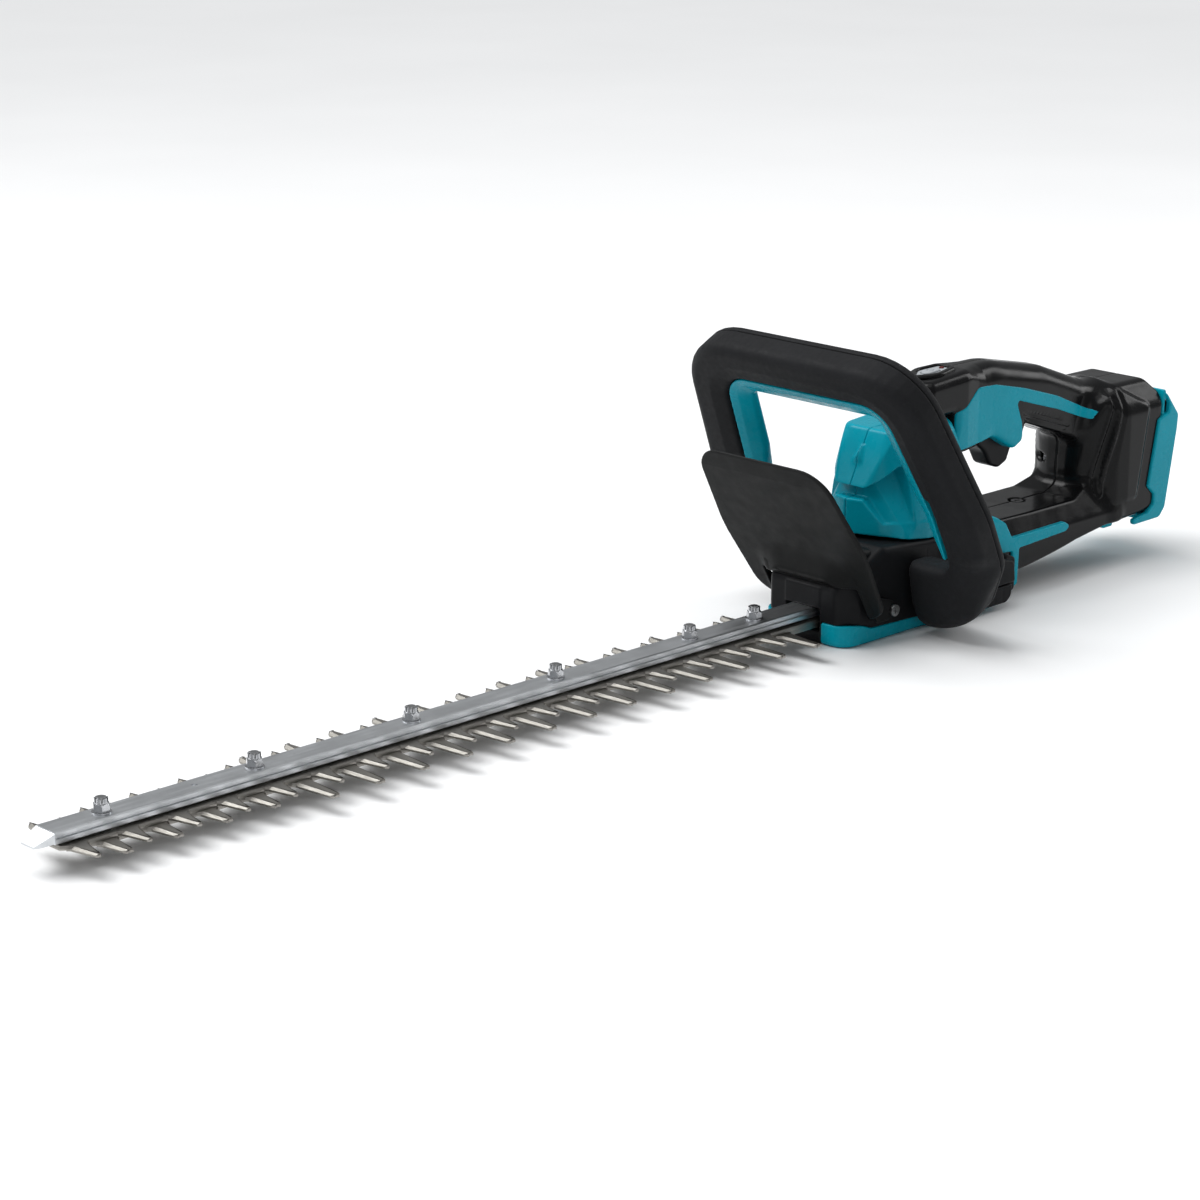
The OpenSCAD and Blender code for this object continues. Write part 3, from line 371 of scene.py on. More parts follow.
TEAL = (0.0, 0.30, 0.395)
BLACK = (0.005, 0.0051, 0.0055)
MATERIALS = {
    "teal_gloss": plastic("teal_plastic", TEAL, 0.28, spread=0.08, specular=0.12),
    "handle_black": plastic("handle_plastic", BLACK, 0.2, specular=0.15),
    "case_black": plastic("case_plastic", (0.009, 0.0093, 0.0105), 0.42),
    "guard_black": plastic("guard_plastic", (0.0095, 0.01, 0.0102), 0.5, grain=1800, depth=0.00003),
    "trigger_black": plastic("trigger_plastic", (0.008, 0.008, 0.009), 0.33),
    "elastomer": rubber("loop_rubber", (0.0125, 0.013, 0.0145), 0.6, 1500, 0.00005),
    "elastomer_grained": rubber("loop_grained_rubber", (0.014, 0.0145, 0.016), 0.64, 900, 0.00014),
    "bar_aluminium": metal("bar_aluminium", (0.70, 0.72, 0.74), 0.36, (0.03, 1, 1)),
    "blade_steel": metal("blade_steel", (0.34, 0.325, 0.30), 0.4, (1, 0.06, 1)),
    "ground_steel": metal("ground_steel", (0.22, 0.212, 0.195), 0.5, (1, 0.1, 1), lines=1500,
                          depth=0.00002, stain=0.08),
    "zinc_steel": metal("zinc_steel", (0.36, 0.365, 0.37), 0.34),
    "nut_chrome": metal("nut_chrome", (0.55, 0.56, 0.58), 0.2, stain=0.1),
    "gear_steel": metal("gear_steel", (0.42, 0.42, 0.43), 0.36),
    "bearing_steel": metal("bearing_steel", (0.66, 0.67, 0.69), 0.2),
    "black_screw": metal("black_screw", (0.09, 0.09, 0.095), 0.38),
    "copper": metal("copper", (0.72, 0.34, 0.2), 0.3),
    "terminal_brass": metal("terminal_brass", (0.75, 0.56, 0.26), 0.28),
    "panel_silver": plastic("panel_silver", (0.36, 0.38, 0.40), 0.34, grain=3200, spread=0.05),
    "circuit_board": plastic("circuit_board", (0.02, 0.12, 0.07), 0.4, grain=900),
    "lamp_red": plastic("lamp_red", (0.09, 0.006, 0.005), 0.2, depth=0.000008),
    "felt": rubber("felt", (0.3, 0.28, 0.24), 0.9, 2200, 0.0001),
    "lead_red": plastic("lead_red", (0.45, 0.02, 0.02), 0.4),
    "lead_black": plastic("lead_black", (0.02, 0.02, 0.02), 0.4),
}


def finish_of(node):
    """The material slot that the record gives a CAD node."""
    return next(s["material_slot"] for s in frame["record"]["subparts"] if s["node"] == node)


def piece(name, field, grid_axes, step, node, body="body", place=None):
    """A moulded piece that stands for a CAD node, with that node's finish."""
    made = to_piece(name, field, grid_axes, step, MATERIALS[finish_of(node)], place)
    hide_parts(node)
    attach(made, body)


# ---------- loop handle ----------
LOOP_OUTER = rounded(mirrored([(88, 75, 40), (105.5, -35, 80), (104, -72, 26), (84, -105, 26),
                               (50, -128, 8)]), 8)
LOOP_INNER = rounded(mirrored([(63.5, 49.5, 20), (75, -30, 40), (74, -62, 8), (20, -63, 0)]), 8)
BAIL_PATH = rounded(mirrored([(63.5, 49.5, 20), (75, -30, 40), (73.4, -96, 0)]), 8)
BAIL_PIN_V, BAIL_PIN_W = -82, -4
LOOP_HALF_D = 12.5
SEAM_W, SEAM_HALF_GAP = -5.5, 0.12
on_loop = leaning(LOOP_AT, LOOP_LEAN)


def loop_handle():
    step = 1.0
    u, v, w = grid = axes((-107, -130, -13), (107, 79, 21), step)
    outer, inner = outline(u, v, LOOP_OUTER), outline(u, v, LOOP_INNER)
    x, z = leaning_xz(LOOP_AT, LOOP_LEAN, v, w)
    # Towards its feet the hoop turns rounder, and swells forwards
    foot = smooth((-52 - v) / 18)
    crown = 0.0042 * (np.abs(u) - 62) ** 2
    bulb = 7.5 * smooth((-66 - v) / 36)
    front = LOOP_HALF_D - 0.28 * np.maximum(11 - inner, 0) * (1 - foot) - crown * foot + bulb
    body = both(outer, w - front, 7.0 + 6 * foot)
    body = both(body, -LOOP_HALF_D - w, 6.0)
    body = both(body, -inner, 2.5 + 4 * foot)
    # Shoulder on the inner side of each foot
    body = minus(body, both(both(np.abs(u) - 73.5, 43.5 - z, 6), v + 20), 8.0)
    # Room for the case and the dome, the ground, and the slots of the bail's legs
    body = minus(body, both(slab(u, -42.3, 42.3), z - 53), 0.8)
    body = minus(body, both(both(slab(u, -42, 42), z - 84), x - 30), 0.8)
    body = both(body, 2 - RAISE - z, 11.0)
    body = minus(body, box_field(np.abs(u), v, w, (69.5, -97, -11.5), (78, -13, 5.5)))
    # Small drain notches under the front of each foot
    for at in (44, 50, 56):
        body = minus(body, np.hypot(np.abs(u) - at, v + 118) - 1.6, 0.5)
    front_part = both(body, SEAM_W + SEAM_HALF_GAP - w, 0.9)
    rear_part = both(body, w - SEAM_W + SEAM_HALF_GAP, 0.9)
    piece("loop_front", front_part, grid, step, "loop_front", place=on_loop)
    piece("loop_rear", rear_part, grid, step, "loop_rear", place=on_loop)


def bail():
    step = 0.8
    u, v, w = grid = axes((-76, -89, -9), (76, 50, 10), step)
    depth = -outline(u, v, BAIL_PATH)
    reach = np.interp(v, [-64, -10], [4, 14.5])
    front = w - (9.2 - 0.37 * np.minimum(depth, 6) - 0.62 * np.maximum(depth - 6, 0))
    rear = -8 + 0.35 * depth - w
    ring = both(both(both(front, rear, 1.0), depth - reach, 2.0), 0.7 - depth, 0.6)
    ring = both(ring, -63 - v, 1.5)
    leg = box_field(np.abs(u), v, w, (70, -82, -8), (73.2, -57, 0), 0.8)
    from_pin = np.hypot(v - BAIL_PIN_V, w - BAIL_PIN_W)
    eye = both(from_pin - 5, slab(np.abs(u), 70, 73.2), 0.6)
    field = either(either(ring, leg, 0.8), eye, 0.5)
    field = minus(field, from_pin - 2.06)
    piece("loop_lever", field, grid, step, "loop_lever", "lever", on_loop)


# ---------- hand guard ----------
GUARD = rounded(mirrored([(50.5, 126, 20), (58, 62, 80), (51, 9, 16), (24, 5, 4)]), 10)
NOSE_SIDE = rounded([(41.5, 8, 0), (41.5, 33, 12), (39, 46, 10), (26, 56, 4), (8, 52, 0), (8, 8, 0)])
NOSE_PLAN = rounded([(41.5, -20, 8), (35, -27.5, 8), (22, -30, 4), (0, -31, 0), (0, 31, 0), (22, 30, 4),
                     (35, 27.5, 8), (41.5, 20, 8)])
GUARD_LUG = rounded([(26, 8.5, 1), (30, 22, 3), (12, 24, 6), (1, 20.5, 4), (-4.5, 14.5, 5), (1, 8.5, 4)])


def hand_guard():
    step = 0.75
    u, v, w = grid = axes((-59, -2, -26), (59, 127, 6), step)
    x, z = leaning_xz(GUARD_AT, GUARD_LEAN, v, w)
    edge = outline(u, v, GUARD)
    top = np.maximum(12 - (126 - v), 0)
    front = 3.0 - 0.1 * top
    plate = both(both(edge, w - front, 1.2), -w, 0.6)
    # Raised ledge with an upright end, low on the front
    ledge = box_field(u, v, w, (-31, 27, 0), (5, 30.5, 4.1), 1.2)
    upright = box_field(u, v, w, (-32, 27, 0), (-29, 41, 3.9), 1.2)
    plate = either(plate, either(ledge, upright, 1), 1.2)
    nose = both(outline(x, z, NOSE_SIDE), outline(x, u, NOSE_PLAN), 5.0)
    body = either(plate, nose, 14.0)
    # Lugs that are screwed to the sides of the gear case
    lug = both(outline(x, z, GUARD_LUG), slab(np.abs(u), 38.4, 41), 0.9)
    body = either(body, both(lug, w - 1, 0.5), 2.0)
    # Behind: the case, the loop, the mouth for bar and blades, and what lies under the base's rim
    keep = leaning_w(LOOP_AT, LOOP_LEAN, x, z) - LOOP_HALF_D - 0.4
    body = both(body, -keep, 0.3)
    body = minus(body, both(slab(u, -38.3, 38.3), both(x - 39.3, z - 33), 0.5), 0.5)
    body = minus(body, both(slab(u, -13.8, 13.8), z - 19, 1.5), 1.0)
    body = both(body, 7.4 - z, 0.8)
    for at in (30, -30):
        rib = box_field(u - at, v, w, (-1, 40, -4), (1, 88, 0.5), 0.6)
        body = either(body, both(rib, -keep), 0.6)
    piece("hand_guard", body, grid, step, "hand_guard", place=leaning(GUARD_AT, GUARD_LEAN))


# ---------- base, gear case and motor housing ----------
BASE = rounded([(38, -35, 12), (38, 35, 12), (-36, 35, 6), (-44, 40, 6), (-100, 40, 8), (-100, -40, 8),
                (-44, -40, 6), (-36, -35, 6)])
CASE_SIDE = rounded([(39, -2, 0), (39, 30, 4), (34, 36, 5), (20, 44, 8), (4, 53.4, 6), (-38, 51, 2),
                     (-104, 50.6, 2), (-104, -2, 0)])
CASE_PLAN = rounded([(39, -26, 3), (39, 26, 3), (36, 28, 4), (24, 34.4, 6), (-10, 36.2, 10), (-44, 37.5, 6),
                     (-60, 42, 8), (-104, 42, 6), (-104, -42, 6), (-60, -42, 8), (-44, -37.5, 6),
                     (-10, -36.2, 10), (24, -34.4, 6), (36, -28, 4)])
CAVITY_SIDE = [(9.5, -2), (9.5, 15.6), (4, 19), (-2, 46), (-34, 46), (-34, 36), (-96, 36), (-96, -2)]
CAVITY_PLAN = [(10, -31), (10, 31), (-20, 34), (-44, 38), (-100, 38), (-100, -38), (-44, -38), (-20, -34)]
COVER_SCREWS = [(22, 28), (-55, 33), (-92, 33)]
BAR_SCREW_X = (16, 30)
HANDLE_ROOT = [(-46, 117), (-46, 150), (-120, 150), (-120, 91), (-80, 91), (-80, 117)]
HOUSING_SCREWS = [(-13, 66), (-86, 66), (-86, 84)]
HOUSING_WALL, HANDLE_WALL = 3.2, 3.0


def rim(x):
    """Height of the parting line between the undercover and the case."""
    return np.interp(x, [-40, -28, 13, 22, 30], [2.6, 3.1, 4.2, 7.4, 8.6]).astype(np.float32)


def undercover():
    step = 0.8
    x, y, z = grid = axes((-101, -41, -5.5), (39, 41, 10), step)
    plan = outline(x, y, BASE)
    shell = both(both(plan, -RAISE - z, 2.2), z - rim(x), 0.7)
    shell = minus(shell, both(plan + 3, 2.4 - RAISE - z, 1.5), 0.3)
    for px, py in COVER_SCREWS:
        post = np.hypot(x - px, np.abs(y) - py)
        shell = either(shell, both(post - 4.6, slab(z, -RAISE, rim(x) - 0.4), 0.4), 0.8)
        shell = minus(shell, post - 1.8)
        shell = minus(shell, both(post - 3.6, z + RAISE - 1.6), 0.3)
    shell = minus(shell, both(slab(y, -15.3, 15.3), 24 - x), 0.5)
    for at in range(-72, -35, 9):
        shell = minus(shell, box_field(x, y, z, (at, -16, -9), (at + 4, 16, 0), 1.6), 0.5)
    piece("undercover", shell, grid, step, "undercover")


def gear_case():
    step = 0.8
    x, y, z = grid = axes((-105, -43, -5), (40, 43, 54), step)
    case = both(outline(x, z, CASE_SIDE), outline(x, y, CASE_PLAN), 4.0)
    case = both(case, rim(x) + 0.25 - z, 0.7)
    # Step behind the teal flaps
    case = minus(case, both(both(slab(x, -110, -62), 33.4 - np.abs(y), 1.0), 36 - z, 1.0), 1.0)
    pad = box_field(x, y, z, (10, -14, 16.92), (38, 14, 30), 0.5)
    case = either(case, pad, 1.0)
    case = minus(case, both(outline(x, z, CAVITY_SIDE), outline(x, y, CAVITY_PLAN)), 0.5)
    # Black sill under the mouth
    case = either(case, box_field(x, y, z, (26, -15, -4.7), (37.6, 15, 9), 0.8))
    case = minus(case, box_field(x, y, z, (3, -13.5, 2.4), (60, 13.5, 16.92)), 0.4)
    # Seats of the bearings of crank and motor
    case = minus(case, both(np.hypot(x - CRANK_X, y) - 11.02, slab(z, 10, 47)))
    case = minus(case, both(np.hypot(x - MOTOR_X, y) - 8.02, slab(z, 20, 60)))
    for px, py in COVER_SCREWS:
        post = np.hypot(x - px, np.abs(y) - py)
        case = either(case, both(post - 4.5, slab(z, 4, 30)), 0.5)
        case = minus(case, both(post - 1.78, z - 20))
    for px in BAR_SCREW_X:
        away = np.hypot(x - px, y)
        case = minus(case, both(away - 5, 28.1 - z), 0.4)
        case = minus(case, away - 2.55)
    # Bores of the guard's screws
    case = minus(case, both(np.hypot(x - 1, z - 14.5) - 1.95, 34 - np.abs(y)))
    piece("gear_case", case, grid, step, "gear_case")


def dome_field(x, y, z):
    """Faceted motor housing: an upper block over an undercut neck and a wider lower tier."""
    side = np.abs(y)
    diagonal = facet(x, side, z, (-84, 34.8, 67), (-0.676, 0.657, 0.33))
    rear = both(facet(x, side, z, (-92, 36, 67), (-0.86, 0.1, 0.42)), diagonal, 10.0)
    block = facet(x, side, z, (-3.3, 0, 84.8), (0.894, 0, 0.447))
    block = both(block, facet(x, side, z, (-5, 13.2, 88), (0.78, 0.59, 0.21)), 1.0)
    block = both(block, facet(x, side, z, (-34, 33.5, 90), (0.12, 0.97, 0.2)), 14.0)
    block = both(block, facet(x, side, z, (-40, 25, 117.5), (0.1, 0.62, 0.78)), 2.0)
    block = both(both(block, z - 117.6, 1.6), facet(x, side, z, (-86, 36, 87), (-0.93, 0.1, 0.25)), 4.0)
    under = facet(x, side, z, (-4, 0, 84.4), (-0.62, 0, -0.785))
    block = both(both(block, diagonal, 4.0), both(either(under, x + 24, 5.0), 58 - z), 1.0)
    neck = both(x + 9, facet(x, side, z, (-5, 13, 84), (0.60, 0.61, 0.52)), 1.5)
    neck = both(neck, facet(x, side, z, (-8, 27.5, 71), (0.28, 0.90, 0.33)), 18.0)
    neck = both(both(neck, slab(z, 50, 108)), rear, 4.0)
    tier = both(x - 0.6, facet(x, side, z, (-1.4, 14.5, 77), (0.70, 0.71, 0.02)), 10.0)
    tier = both(tier, facet(x, side, z, (-12, 36.4, 62), (0, 1, 0.02)), 9.0)
    # Its rim falls from the front corner, then runs level along the side
    fall = facet(x, side, z, (-1, 11, 77.2), (-0.1, 0.74, 0.66))
    tier = both(tier, both(z - 77.2, np.minimum(fall, z - 63.2), 0.6), 1.0)
    tier = both(tier, rear, 4.0)
    upper = both(either(neck, block, 0.8), side - 35.4, 4.0)
    solid = either(upper, tier, 1.2)
    floor = 51.4 + np.clip((x + 38) * 0.118, 0, 4)
    return both(solid, floor - z, 0.8)


def motor_housing():
    step = 0.8
    for side, sign in (("left", 1), ("right", -1)):
        x, y, z = grid = half_axes(sign, (-99, 0, 50), (4, 41, 118), step)
        shell = dome_field(x, y, z)
        hollow = both(shell + HOUSING_WALL, 54 - z)
        shell = minus(shell, hollow)
        # Air slots beside the fan, open to the hollow
        for at in range(-72, -39, 8):
            slot = both(both(slab(x, at, at + 4), slab(z, 88, 101), 1.6), 28 - np.abs(y))
            shell = minus(shell, slot, 0.6)
        root = both(outline(x, z, HANDLE_ROOT), slab(y, -20.3, 20.3))
        shell = minus(shell, root, 0.3)
        shell = both(shell, PART_GAP - sign * y, 0.45)
        if sign < 0:
            for px, pz in HOUSING_SCREWS:
                shell = minus(shell, both(np.hypot(x - px, z - pz) - 3.3, y + 14), 0.3)
        piece("motor_housing_" + side, shell, grid, step, "motor_housing_" + side)


# ---------- rear handle and battery housing ----------
GRIP_SIDE = rounded([(-48, 118, 2), (-48, 130, 5), (-57, 142, 9), (-96, 144.6, 20), (-128, 144.5, 60),
                     (-178, 134, 60), (-216, 120, 30), (-238, 114, 4), (-238, 96, 4), (-206, 82, 4),
                     (-178, 92, 14), (-154, 101, 6), (-151, 90, 3), (-143, 86, 4), (-122, 98, 10),
                     (-104, 94, 3), (-80.4, 93, 2), (-80.4, 118, 1)])
BEAM_SIDE = rounded([(-104.3, 8, 2), (-104.3, 46, 2), (-150, 45, 10), (-196, 45, 8), (-236, 60, 4),
                     (-236, 26, 4), (-190, 20, 20), (-140, 10, 20)])
REAR_SIDE = rounded([(-214, 26, 8), (-209, 42, 12), (-207, 61, 20), (-210, 84, 12), (-221, 106, 12),
                     (-238, 114, 6), (-270, 113.6, 5), (-278, 105, 4), (-271.5, 26, 8), (-240, 24, 8)])
REAR_PLAN = rounded([(-206, -8, 5), (-206, 8, 5), (-216, 24, 16), (-229, 33, 10), (-240, 34.6, 6),
                     (-300, 34.6, 0), (-300, -34.6, 0), (-240, -34.6, 6), (-229, -33, 10), (-216, -24, 16)])
TRIM = rounded([(-82, 95, 1), (-82, 120, 1), (-90, 122, 6), (-104, 132.5, 8), (-122, 131.5, 20),
                (-150, 125, 60), (-186, 114, 40), (-219.5, 99.6, 1), (-216, 94, 1), (-186, 105, 40),
                (-143, 118, 2), (-149.5, 102, 4), (-151, 90, 3), (-142.5, 86, 4), (-122, 97.5, 10)])
BELT = rounded([(-84, 58.4, 1), (-95, 55.5, 8), (-105, 51.5, 8), (-114, 46, 5), (-121, 35, 2),
                (-175, 35.4, 2.5), (-180.5, 32, 2), (-176, 29, 2), (-128.4, 27, 1), (-127.5, 4, 1.5),
                (-123.4, 2, 1), (-121.6, 26, 1), (-100, 28, 1), (-84, 34, 1)], 4)
BEAM_SCREW_X = -168
HANDLE_SCREWS = [(-92, 130), (-164, 112), (-206, 100), (-212, 64)]
RIBBED = [(-153, 99), (-150, 110), (-186, 101), (-200, 92), (-186, 86)]
FLUTE = [(-232, 117), (-227, 92), (-220, 64), (-217, 46)]
PANEL = rounded([(-239, 112, 2), (-234.5, 92, 8), (-227.5, 62, 8), (-224.5, 46, 3), (-227, 38, 3),
                 (-250, 38, 3), (-253, 54.7, 3), (-261, 99, 3), (-252, 104, 3)])


def near_line(a, b, points):
    """Distance to a chain of segments."""
    best = 1e9
    for (x0, y0), (x1, y1) in zip(points, points[1:]):
        t = np.clip(((a - x0) * (x1 - x0) + (b - y0) * (y1 - y0)) / ((x1 - x0) ** 2 + (y1 - y0) ** 2), 0, 1)
        best = np.minimum(best, np.hypot(a - x0 - t * (x1 - x0), b - y0 - t * (y1 - y0)))
    return best


def grip_field(x, y, z):
    side = np.abs(y)
    half = np.interp(x, [-236, -200, -150, -118, -104, -92, -60, -48],
                     [15, 15.5, 16.4, 16.6, 17, 18.6, 18.6, 17])
    soft = np.interp(x, [-236, -112, -96, -48], [12.5, 12.5, 7, 6])
    profile = outline(x, z, GRIP_SIDE)
    low = np.clip((112 - z) / 14, 0, 1)
    return both(profile, side - half, soft * (1 - 0.72 * low) + 0.3)


def beam_field(x, y, z):
    side = np.abs(y)
    field = both(outline(x, z, BEAM_SIDE), side - 33, 2.0)
    field = both(field, facet(x, side, z, (0, 25, 45.6), (0, 0.85, 0.53)), 1.2)
    return both(field, facet(x, side, z, (0, 33, 14), (0, 0.8, -0.6)), 4.0)


def rear_field(x, y, z):
    side = np.abs(y)
    field = both(outline(x, z, REAR_SIDE), outline(x, y, REAR_PLAN), 4.0)
    field = both(field, facet(x, side, z, (0, 35, 98), (0, 0.8, 0.62)), 3.0)
    # Raised side panel, the flute in front of it and the step to the battery frame
    panel = np.clip(-outline(x, z, PANEL) / 1.5, -1, 1)
    wall = np.clip((side - 18) / 8, 0, 1)
    field = field - 0.55 * panel * wall
    away = near_line(x, z, FLUTE)
    groove = 1.8 * np.sqrt(np.clip(1 - away / 2.2, 0, 1))
    ridges = 1.0 * np.clip(1 - np.abs(away - 3.6) / 1.5, 0, 1)
    return field + (groove - ridges) * wall


def handle_solid(x, y, z):
    grip, beam, rear = grip_field(x, y, z), beam_field(x, y, z), rear_field(x, y, z)
    return either(either(grip, rear, 9.0), beam, 6.0)


PANEL_AT = (-76, 142.65)
PANEL_TILT = math.radians(3.7)


def panel_xz(x, z):
    """Along the power panel and above it, from the frame."""
    s, c = math.sin(PANEL_TILT), math.cos(PANEL_TILT)
    dx, dz = x - PANEL_AT[0], z - PANEL_AT[1]
    return dx * c - dz * s, dx * s + dz * c


def on_panel(p):
    """The panel's own millimetres to the frame."""
    s, c = math.sin(PANEL_TILT), math.cos(PANEL_TILT)
    x, y, z = p.T
    return np.stack([PANEL_AT[0] + x * c + z * s, y, PANEL_AT[1] - x * s + z * c], 1)


def handle_housing():
    step = 0.9
    for side, sign in (("left", 1), ("right", -1)):
        x, y, z = grid = half_axes(sign, (-279, 0, 7), (-46, 36, 146), step)
        field = handle_solid(x, y, z)
        hollow = field + HANDLE_WALL
        # Fine ribs under the grip, behind the trigger
        ribbed = both(outline(x, z, RIBBED), 6 - np.abs(y))
        ribs = 0.32 * np.sin((z - 0.33 * x) * 2 * math.pi / 3.2)
        field = field + np.where(ribbed < 0, ribs + 0.2, 0)
        # Windows: trigger slot, panel, and the screw seat on the beam with its bore
        field = minus(field, box_field(x, y, z, (-157, -8.6, 60), (-108.6, 8.6, 113), 0.6), 0.5)
        px, pz = panel_xz(x, z)
        field = minus(field, both(both(slab(px, -14.6, 14.6), slab(y, -8.2, 8.2), 3.0), -8 - pz), 0.6)
        screw = np.hypot(x - BEAM_SCREW_X, y)
        field = minus(field, both(screw - 5.6, slab(z, 42.5, 66)), 0.9)
        field = minus(field, both(screw - 2.1, slab(z, 25, 60)))
        field = minus(field, hollow, 0.3)
        field = both(field, PART_GAP - sign * y, 0.5)
        if sign < 0:
            for qx, qz in HANDLE_SCREWS:
                field = minus(field, both(np.hypot(x - qx, z - qz) - 3.3, y + 9), 0.4)
        piece("handle_housing_" + side, field, grid, step, "handle_housing_" + side)


def trims():
    step = 0.7
    for side, sign in (("left", 1), ("right", -1)):
        x, y, z = grid = half_axes(sign, (-229, 4, 84), (-80, 30, 134), step)
        skin = handle_solid(x, y, z)
        field = both(both(skin - 0.5, outline(x, z, TRIM), 0.5), 7.0 - np.abs(y), 0.3)
        field = both(field, -1.6 - skin, 0.3)
        piece("grip_trim_" + side, field, grid, step, "grip_trim_" + side)
        x, y, z = grid = half_axes(sign, (-182, 18, 0), (-83, 37, 60), step)
        cover = both(np.abs(y) - 34.8, facet(x, np.abs(y), z, (0, 34, 54), (0, 0.80, 0.6)), 4.0)
        field = both(both(cover, outline(x, z, BELT), 0.8), 30.4 - np.abs(y), 0.4)
        piece("beam_belt_" + side, field, grid, step, "beam_belt_" + side)


FRAME_SIDE = rounded([(-274.2, 109, 1.5), (-291.9, 88, 3), (-291, 78, 6), (-281.5, 26, 6), (-276, 20, 4),
                      (-248, 19.6, 1.5), (-247, 23.4, 1.2), (-262, 25.5, 2), (-268.5, 31, 2), (-268.5, 37, 2),
                      (-261.5, 43.5, 2), (-262.5, 48, 2), (-270.5, 87.6, 2), (-281, 91, 2), (-281.5, 97, 3)])
FRAME_BACK = rounded([(-279.5, 106, 0), (-277.2, 106, 0), (-271.4, 24, 0), (-274, 24, 0)])
FRAME_SILL = rounded([(-262, 19.5, 1), (-262, 23.6, 1), (-276, 25, 1), (-280, 23, 2), (-275, 19.5, 2)])
RAIL_SIDE = rounded([(-279.7, 102, 1), (-290, 88, 2), (-289, 80, 2), (-280, 30, 2), (-274.6, 30, 1)])
RAIL_LIP = rounded([(-286, 93, 1), (-290, 88, 2), (-289, 80, 2), (-281, 36, 1), (-278, 36, 1)])
REAR_FOOT = rounded([(-224, 24.8, 1), (-238, 24, 1), (-238, 19, 2), (-228, 19, 3)])


def battery_frame():
    step = 0.8
    x, y, z = grid = axes((-293, -36.5, 19), (-245, 36.5, 109.5), step)
    side = np.abs(y)
    cheek = both(outline(x, z, FRAME_SIDE), slab(side, 31.9, 35.9), 1.1)
    sill = both(outline(x, z, FRAME_SILL), side - 33.5, 0.4)
    back = both(outline(x, z, FRAME_BACK), side - 33.5, 0.3)
    piece("rear_frame", either(either(cheek, sill, 1.0), back, 0.8), grid, step, "rear_frame")
    x, y, z = grid = axes((-290.5, -32.5, 29), (-274, 32.5, 103), step)
    side = np.abs(y)
    rail = both(outline(x, z, RAIL_SIDE), slab(side, 28, 31.9), 0.5)
    lip = both(outline(x, z, RAIL_LIP), slab(side, 25.5, 28.4), 0.5)
    piece("battery_rails", either(rail, lip, 0.5), grid, step, "battery_rails")
    step = 0.6
    x, y, z = grid = axes((-239, -27, 18), (-223, 27, 25.5), step)
    foot = both(outline(x, z, REAR_FOOT), np.abs(y) - 26, 1.5)
    piece("rear_foot", foot, grid, step, "rear_foot")


FOOT_UPPER = rounded([(-40, 10, 2), (-62, 36, 4), (-94, 29, 3), (-109, 25, 4), (-110.4, 11, 1.5),
                      (-40, 10.4, 0)])
FOOT_LOWER = rounded([(-30, 9.6, 0), (-108.6, 10.2, 1.5), (-107.5, 2, 4), (-103, -1.4, 4), (-30, -1.5, 2)])
FOOT_BACK = rounded([(-104, 4, 2), (-104, 30, 2), (-114.2, 25.5, 3), (-114.2, 4, 3)])


def loop_feet():
    step = 0.7
    x, y, z = grid = axes((-118.5, -47.5, -2.2), (-30, 47.5, 39.5), step)
    side = np.abs(y)
    upper = both(outline(x, z, FOOT_UPPER), slab(side, 42.3, 46.9), 1.6)
    lower = both(outline(x, z, FOOT_LOWER), slab(side, 42.3, 46.2), 1.6)
    hook = both(outline(x, z, FOOT_BACK), slab(side, 35.3, 43), 1.0)
    field = either(either(upper, lower, 0.4), hook, 1.0)
    for at in range(-100, -56, 8):
        field = minus(field, both(both(slab(x, at, at + 2.4), 46.2 - side), slab(z, -5, 9), 0.4), 0.3)
    back = leaning_w(LOOP_AT, LOOP_LEAN, x, z) + LOOP_HALF_D + 0.25
    piece("loop_feet", both(field, back, 0.4), grid, step, "loop_feet")


TRIGGER_SIDE = rounded([(-109, 108, 2), (-118, 111, 2), (-144, 104, 2), (-149, 93, 2), (-151.5, 86, 3),
                        (-147, 76, 3), (-139, 72.7, 5), (-130, 76, 6), (-124, 86, 14), (-110.5, 96, 3)])
TRIGGER_PIN_X, TRIGGER_PIN_Z = -113, 106


def trigger():
    step = 0.55
    x, y, z = grid = axes((-152, -8, 72), (-108, 8, 112), step)
    field = both(outline(x, z, TRIGGER_SIDE), np.abs(y) - 7.5, 2.2)
    from_pin = np.hypot(x - TRIGGER_PIN_X, z - TRIGGER_PIN_Z)
    field = either(field, both(from_pin - 4, np.abs(y) - 7.5, 0.4), 1.0)
    # Hollow finger face and the bore of its pin
    field = minus(field, box_field(x, y, z, (-142, -4.5, 92), (-118, 4.5, 130), 1.0), 0.5)
    field = minus(field, from_pin - 2.05)
    piece("trigger", field, grid, step, "trigger", "trigger")


ALMOND = rounded([(17, 0, 3), (3, 9.6, 12), (-16, 6, 4), (-16, -6, 4), (3, -9.6, 12)], 10)
BUTTON_HOLE = rounded([(7.3, 4.3, 4.2), (-7.3, 4.3, 4.2), (-7.3, -4.3, 4.2), (7.3, -4.3, 4.2)], 8)
BUTTON = rounded([(6.9, 3.9, 3.8), (-6.9, 3.9, 3.8), (-6.9, -3.9, 3.8), (6.9, -3.9, 3.8)], 8)


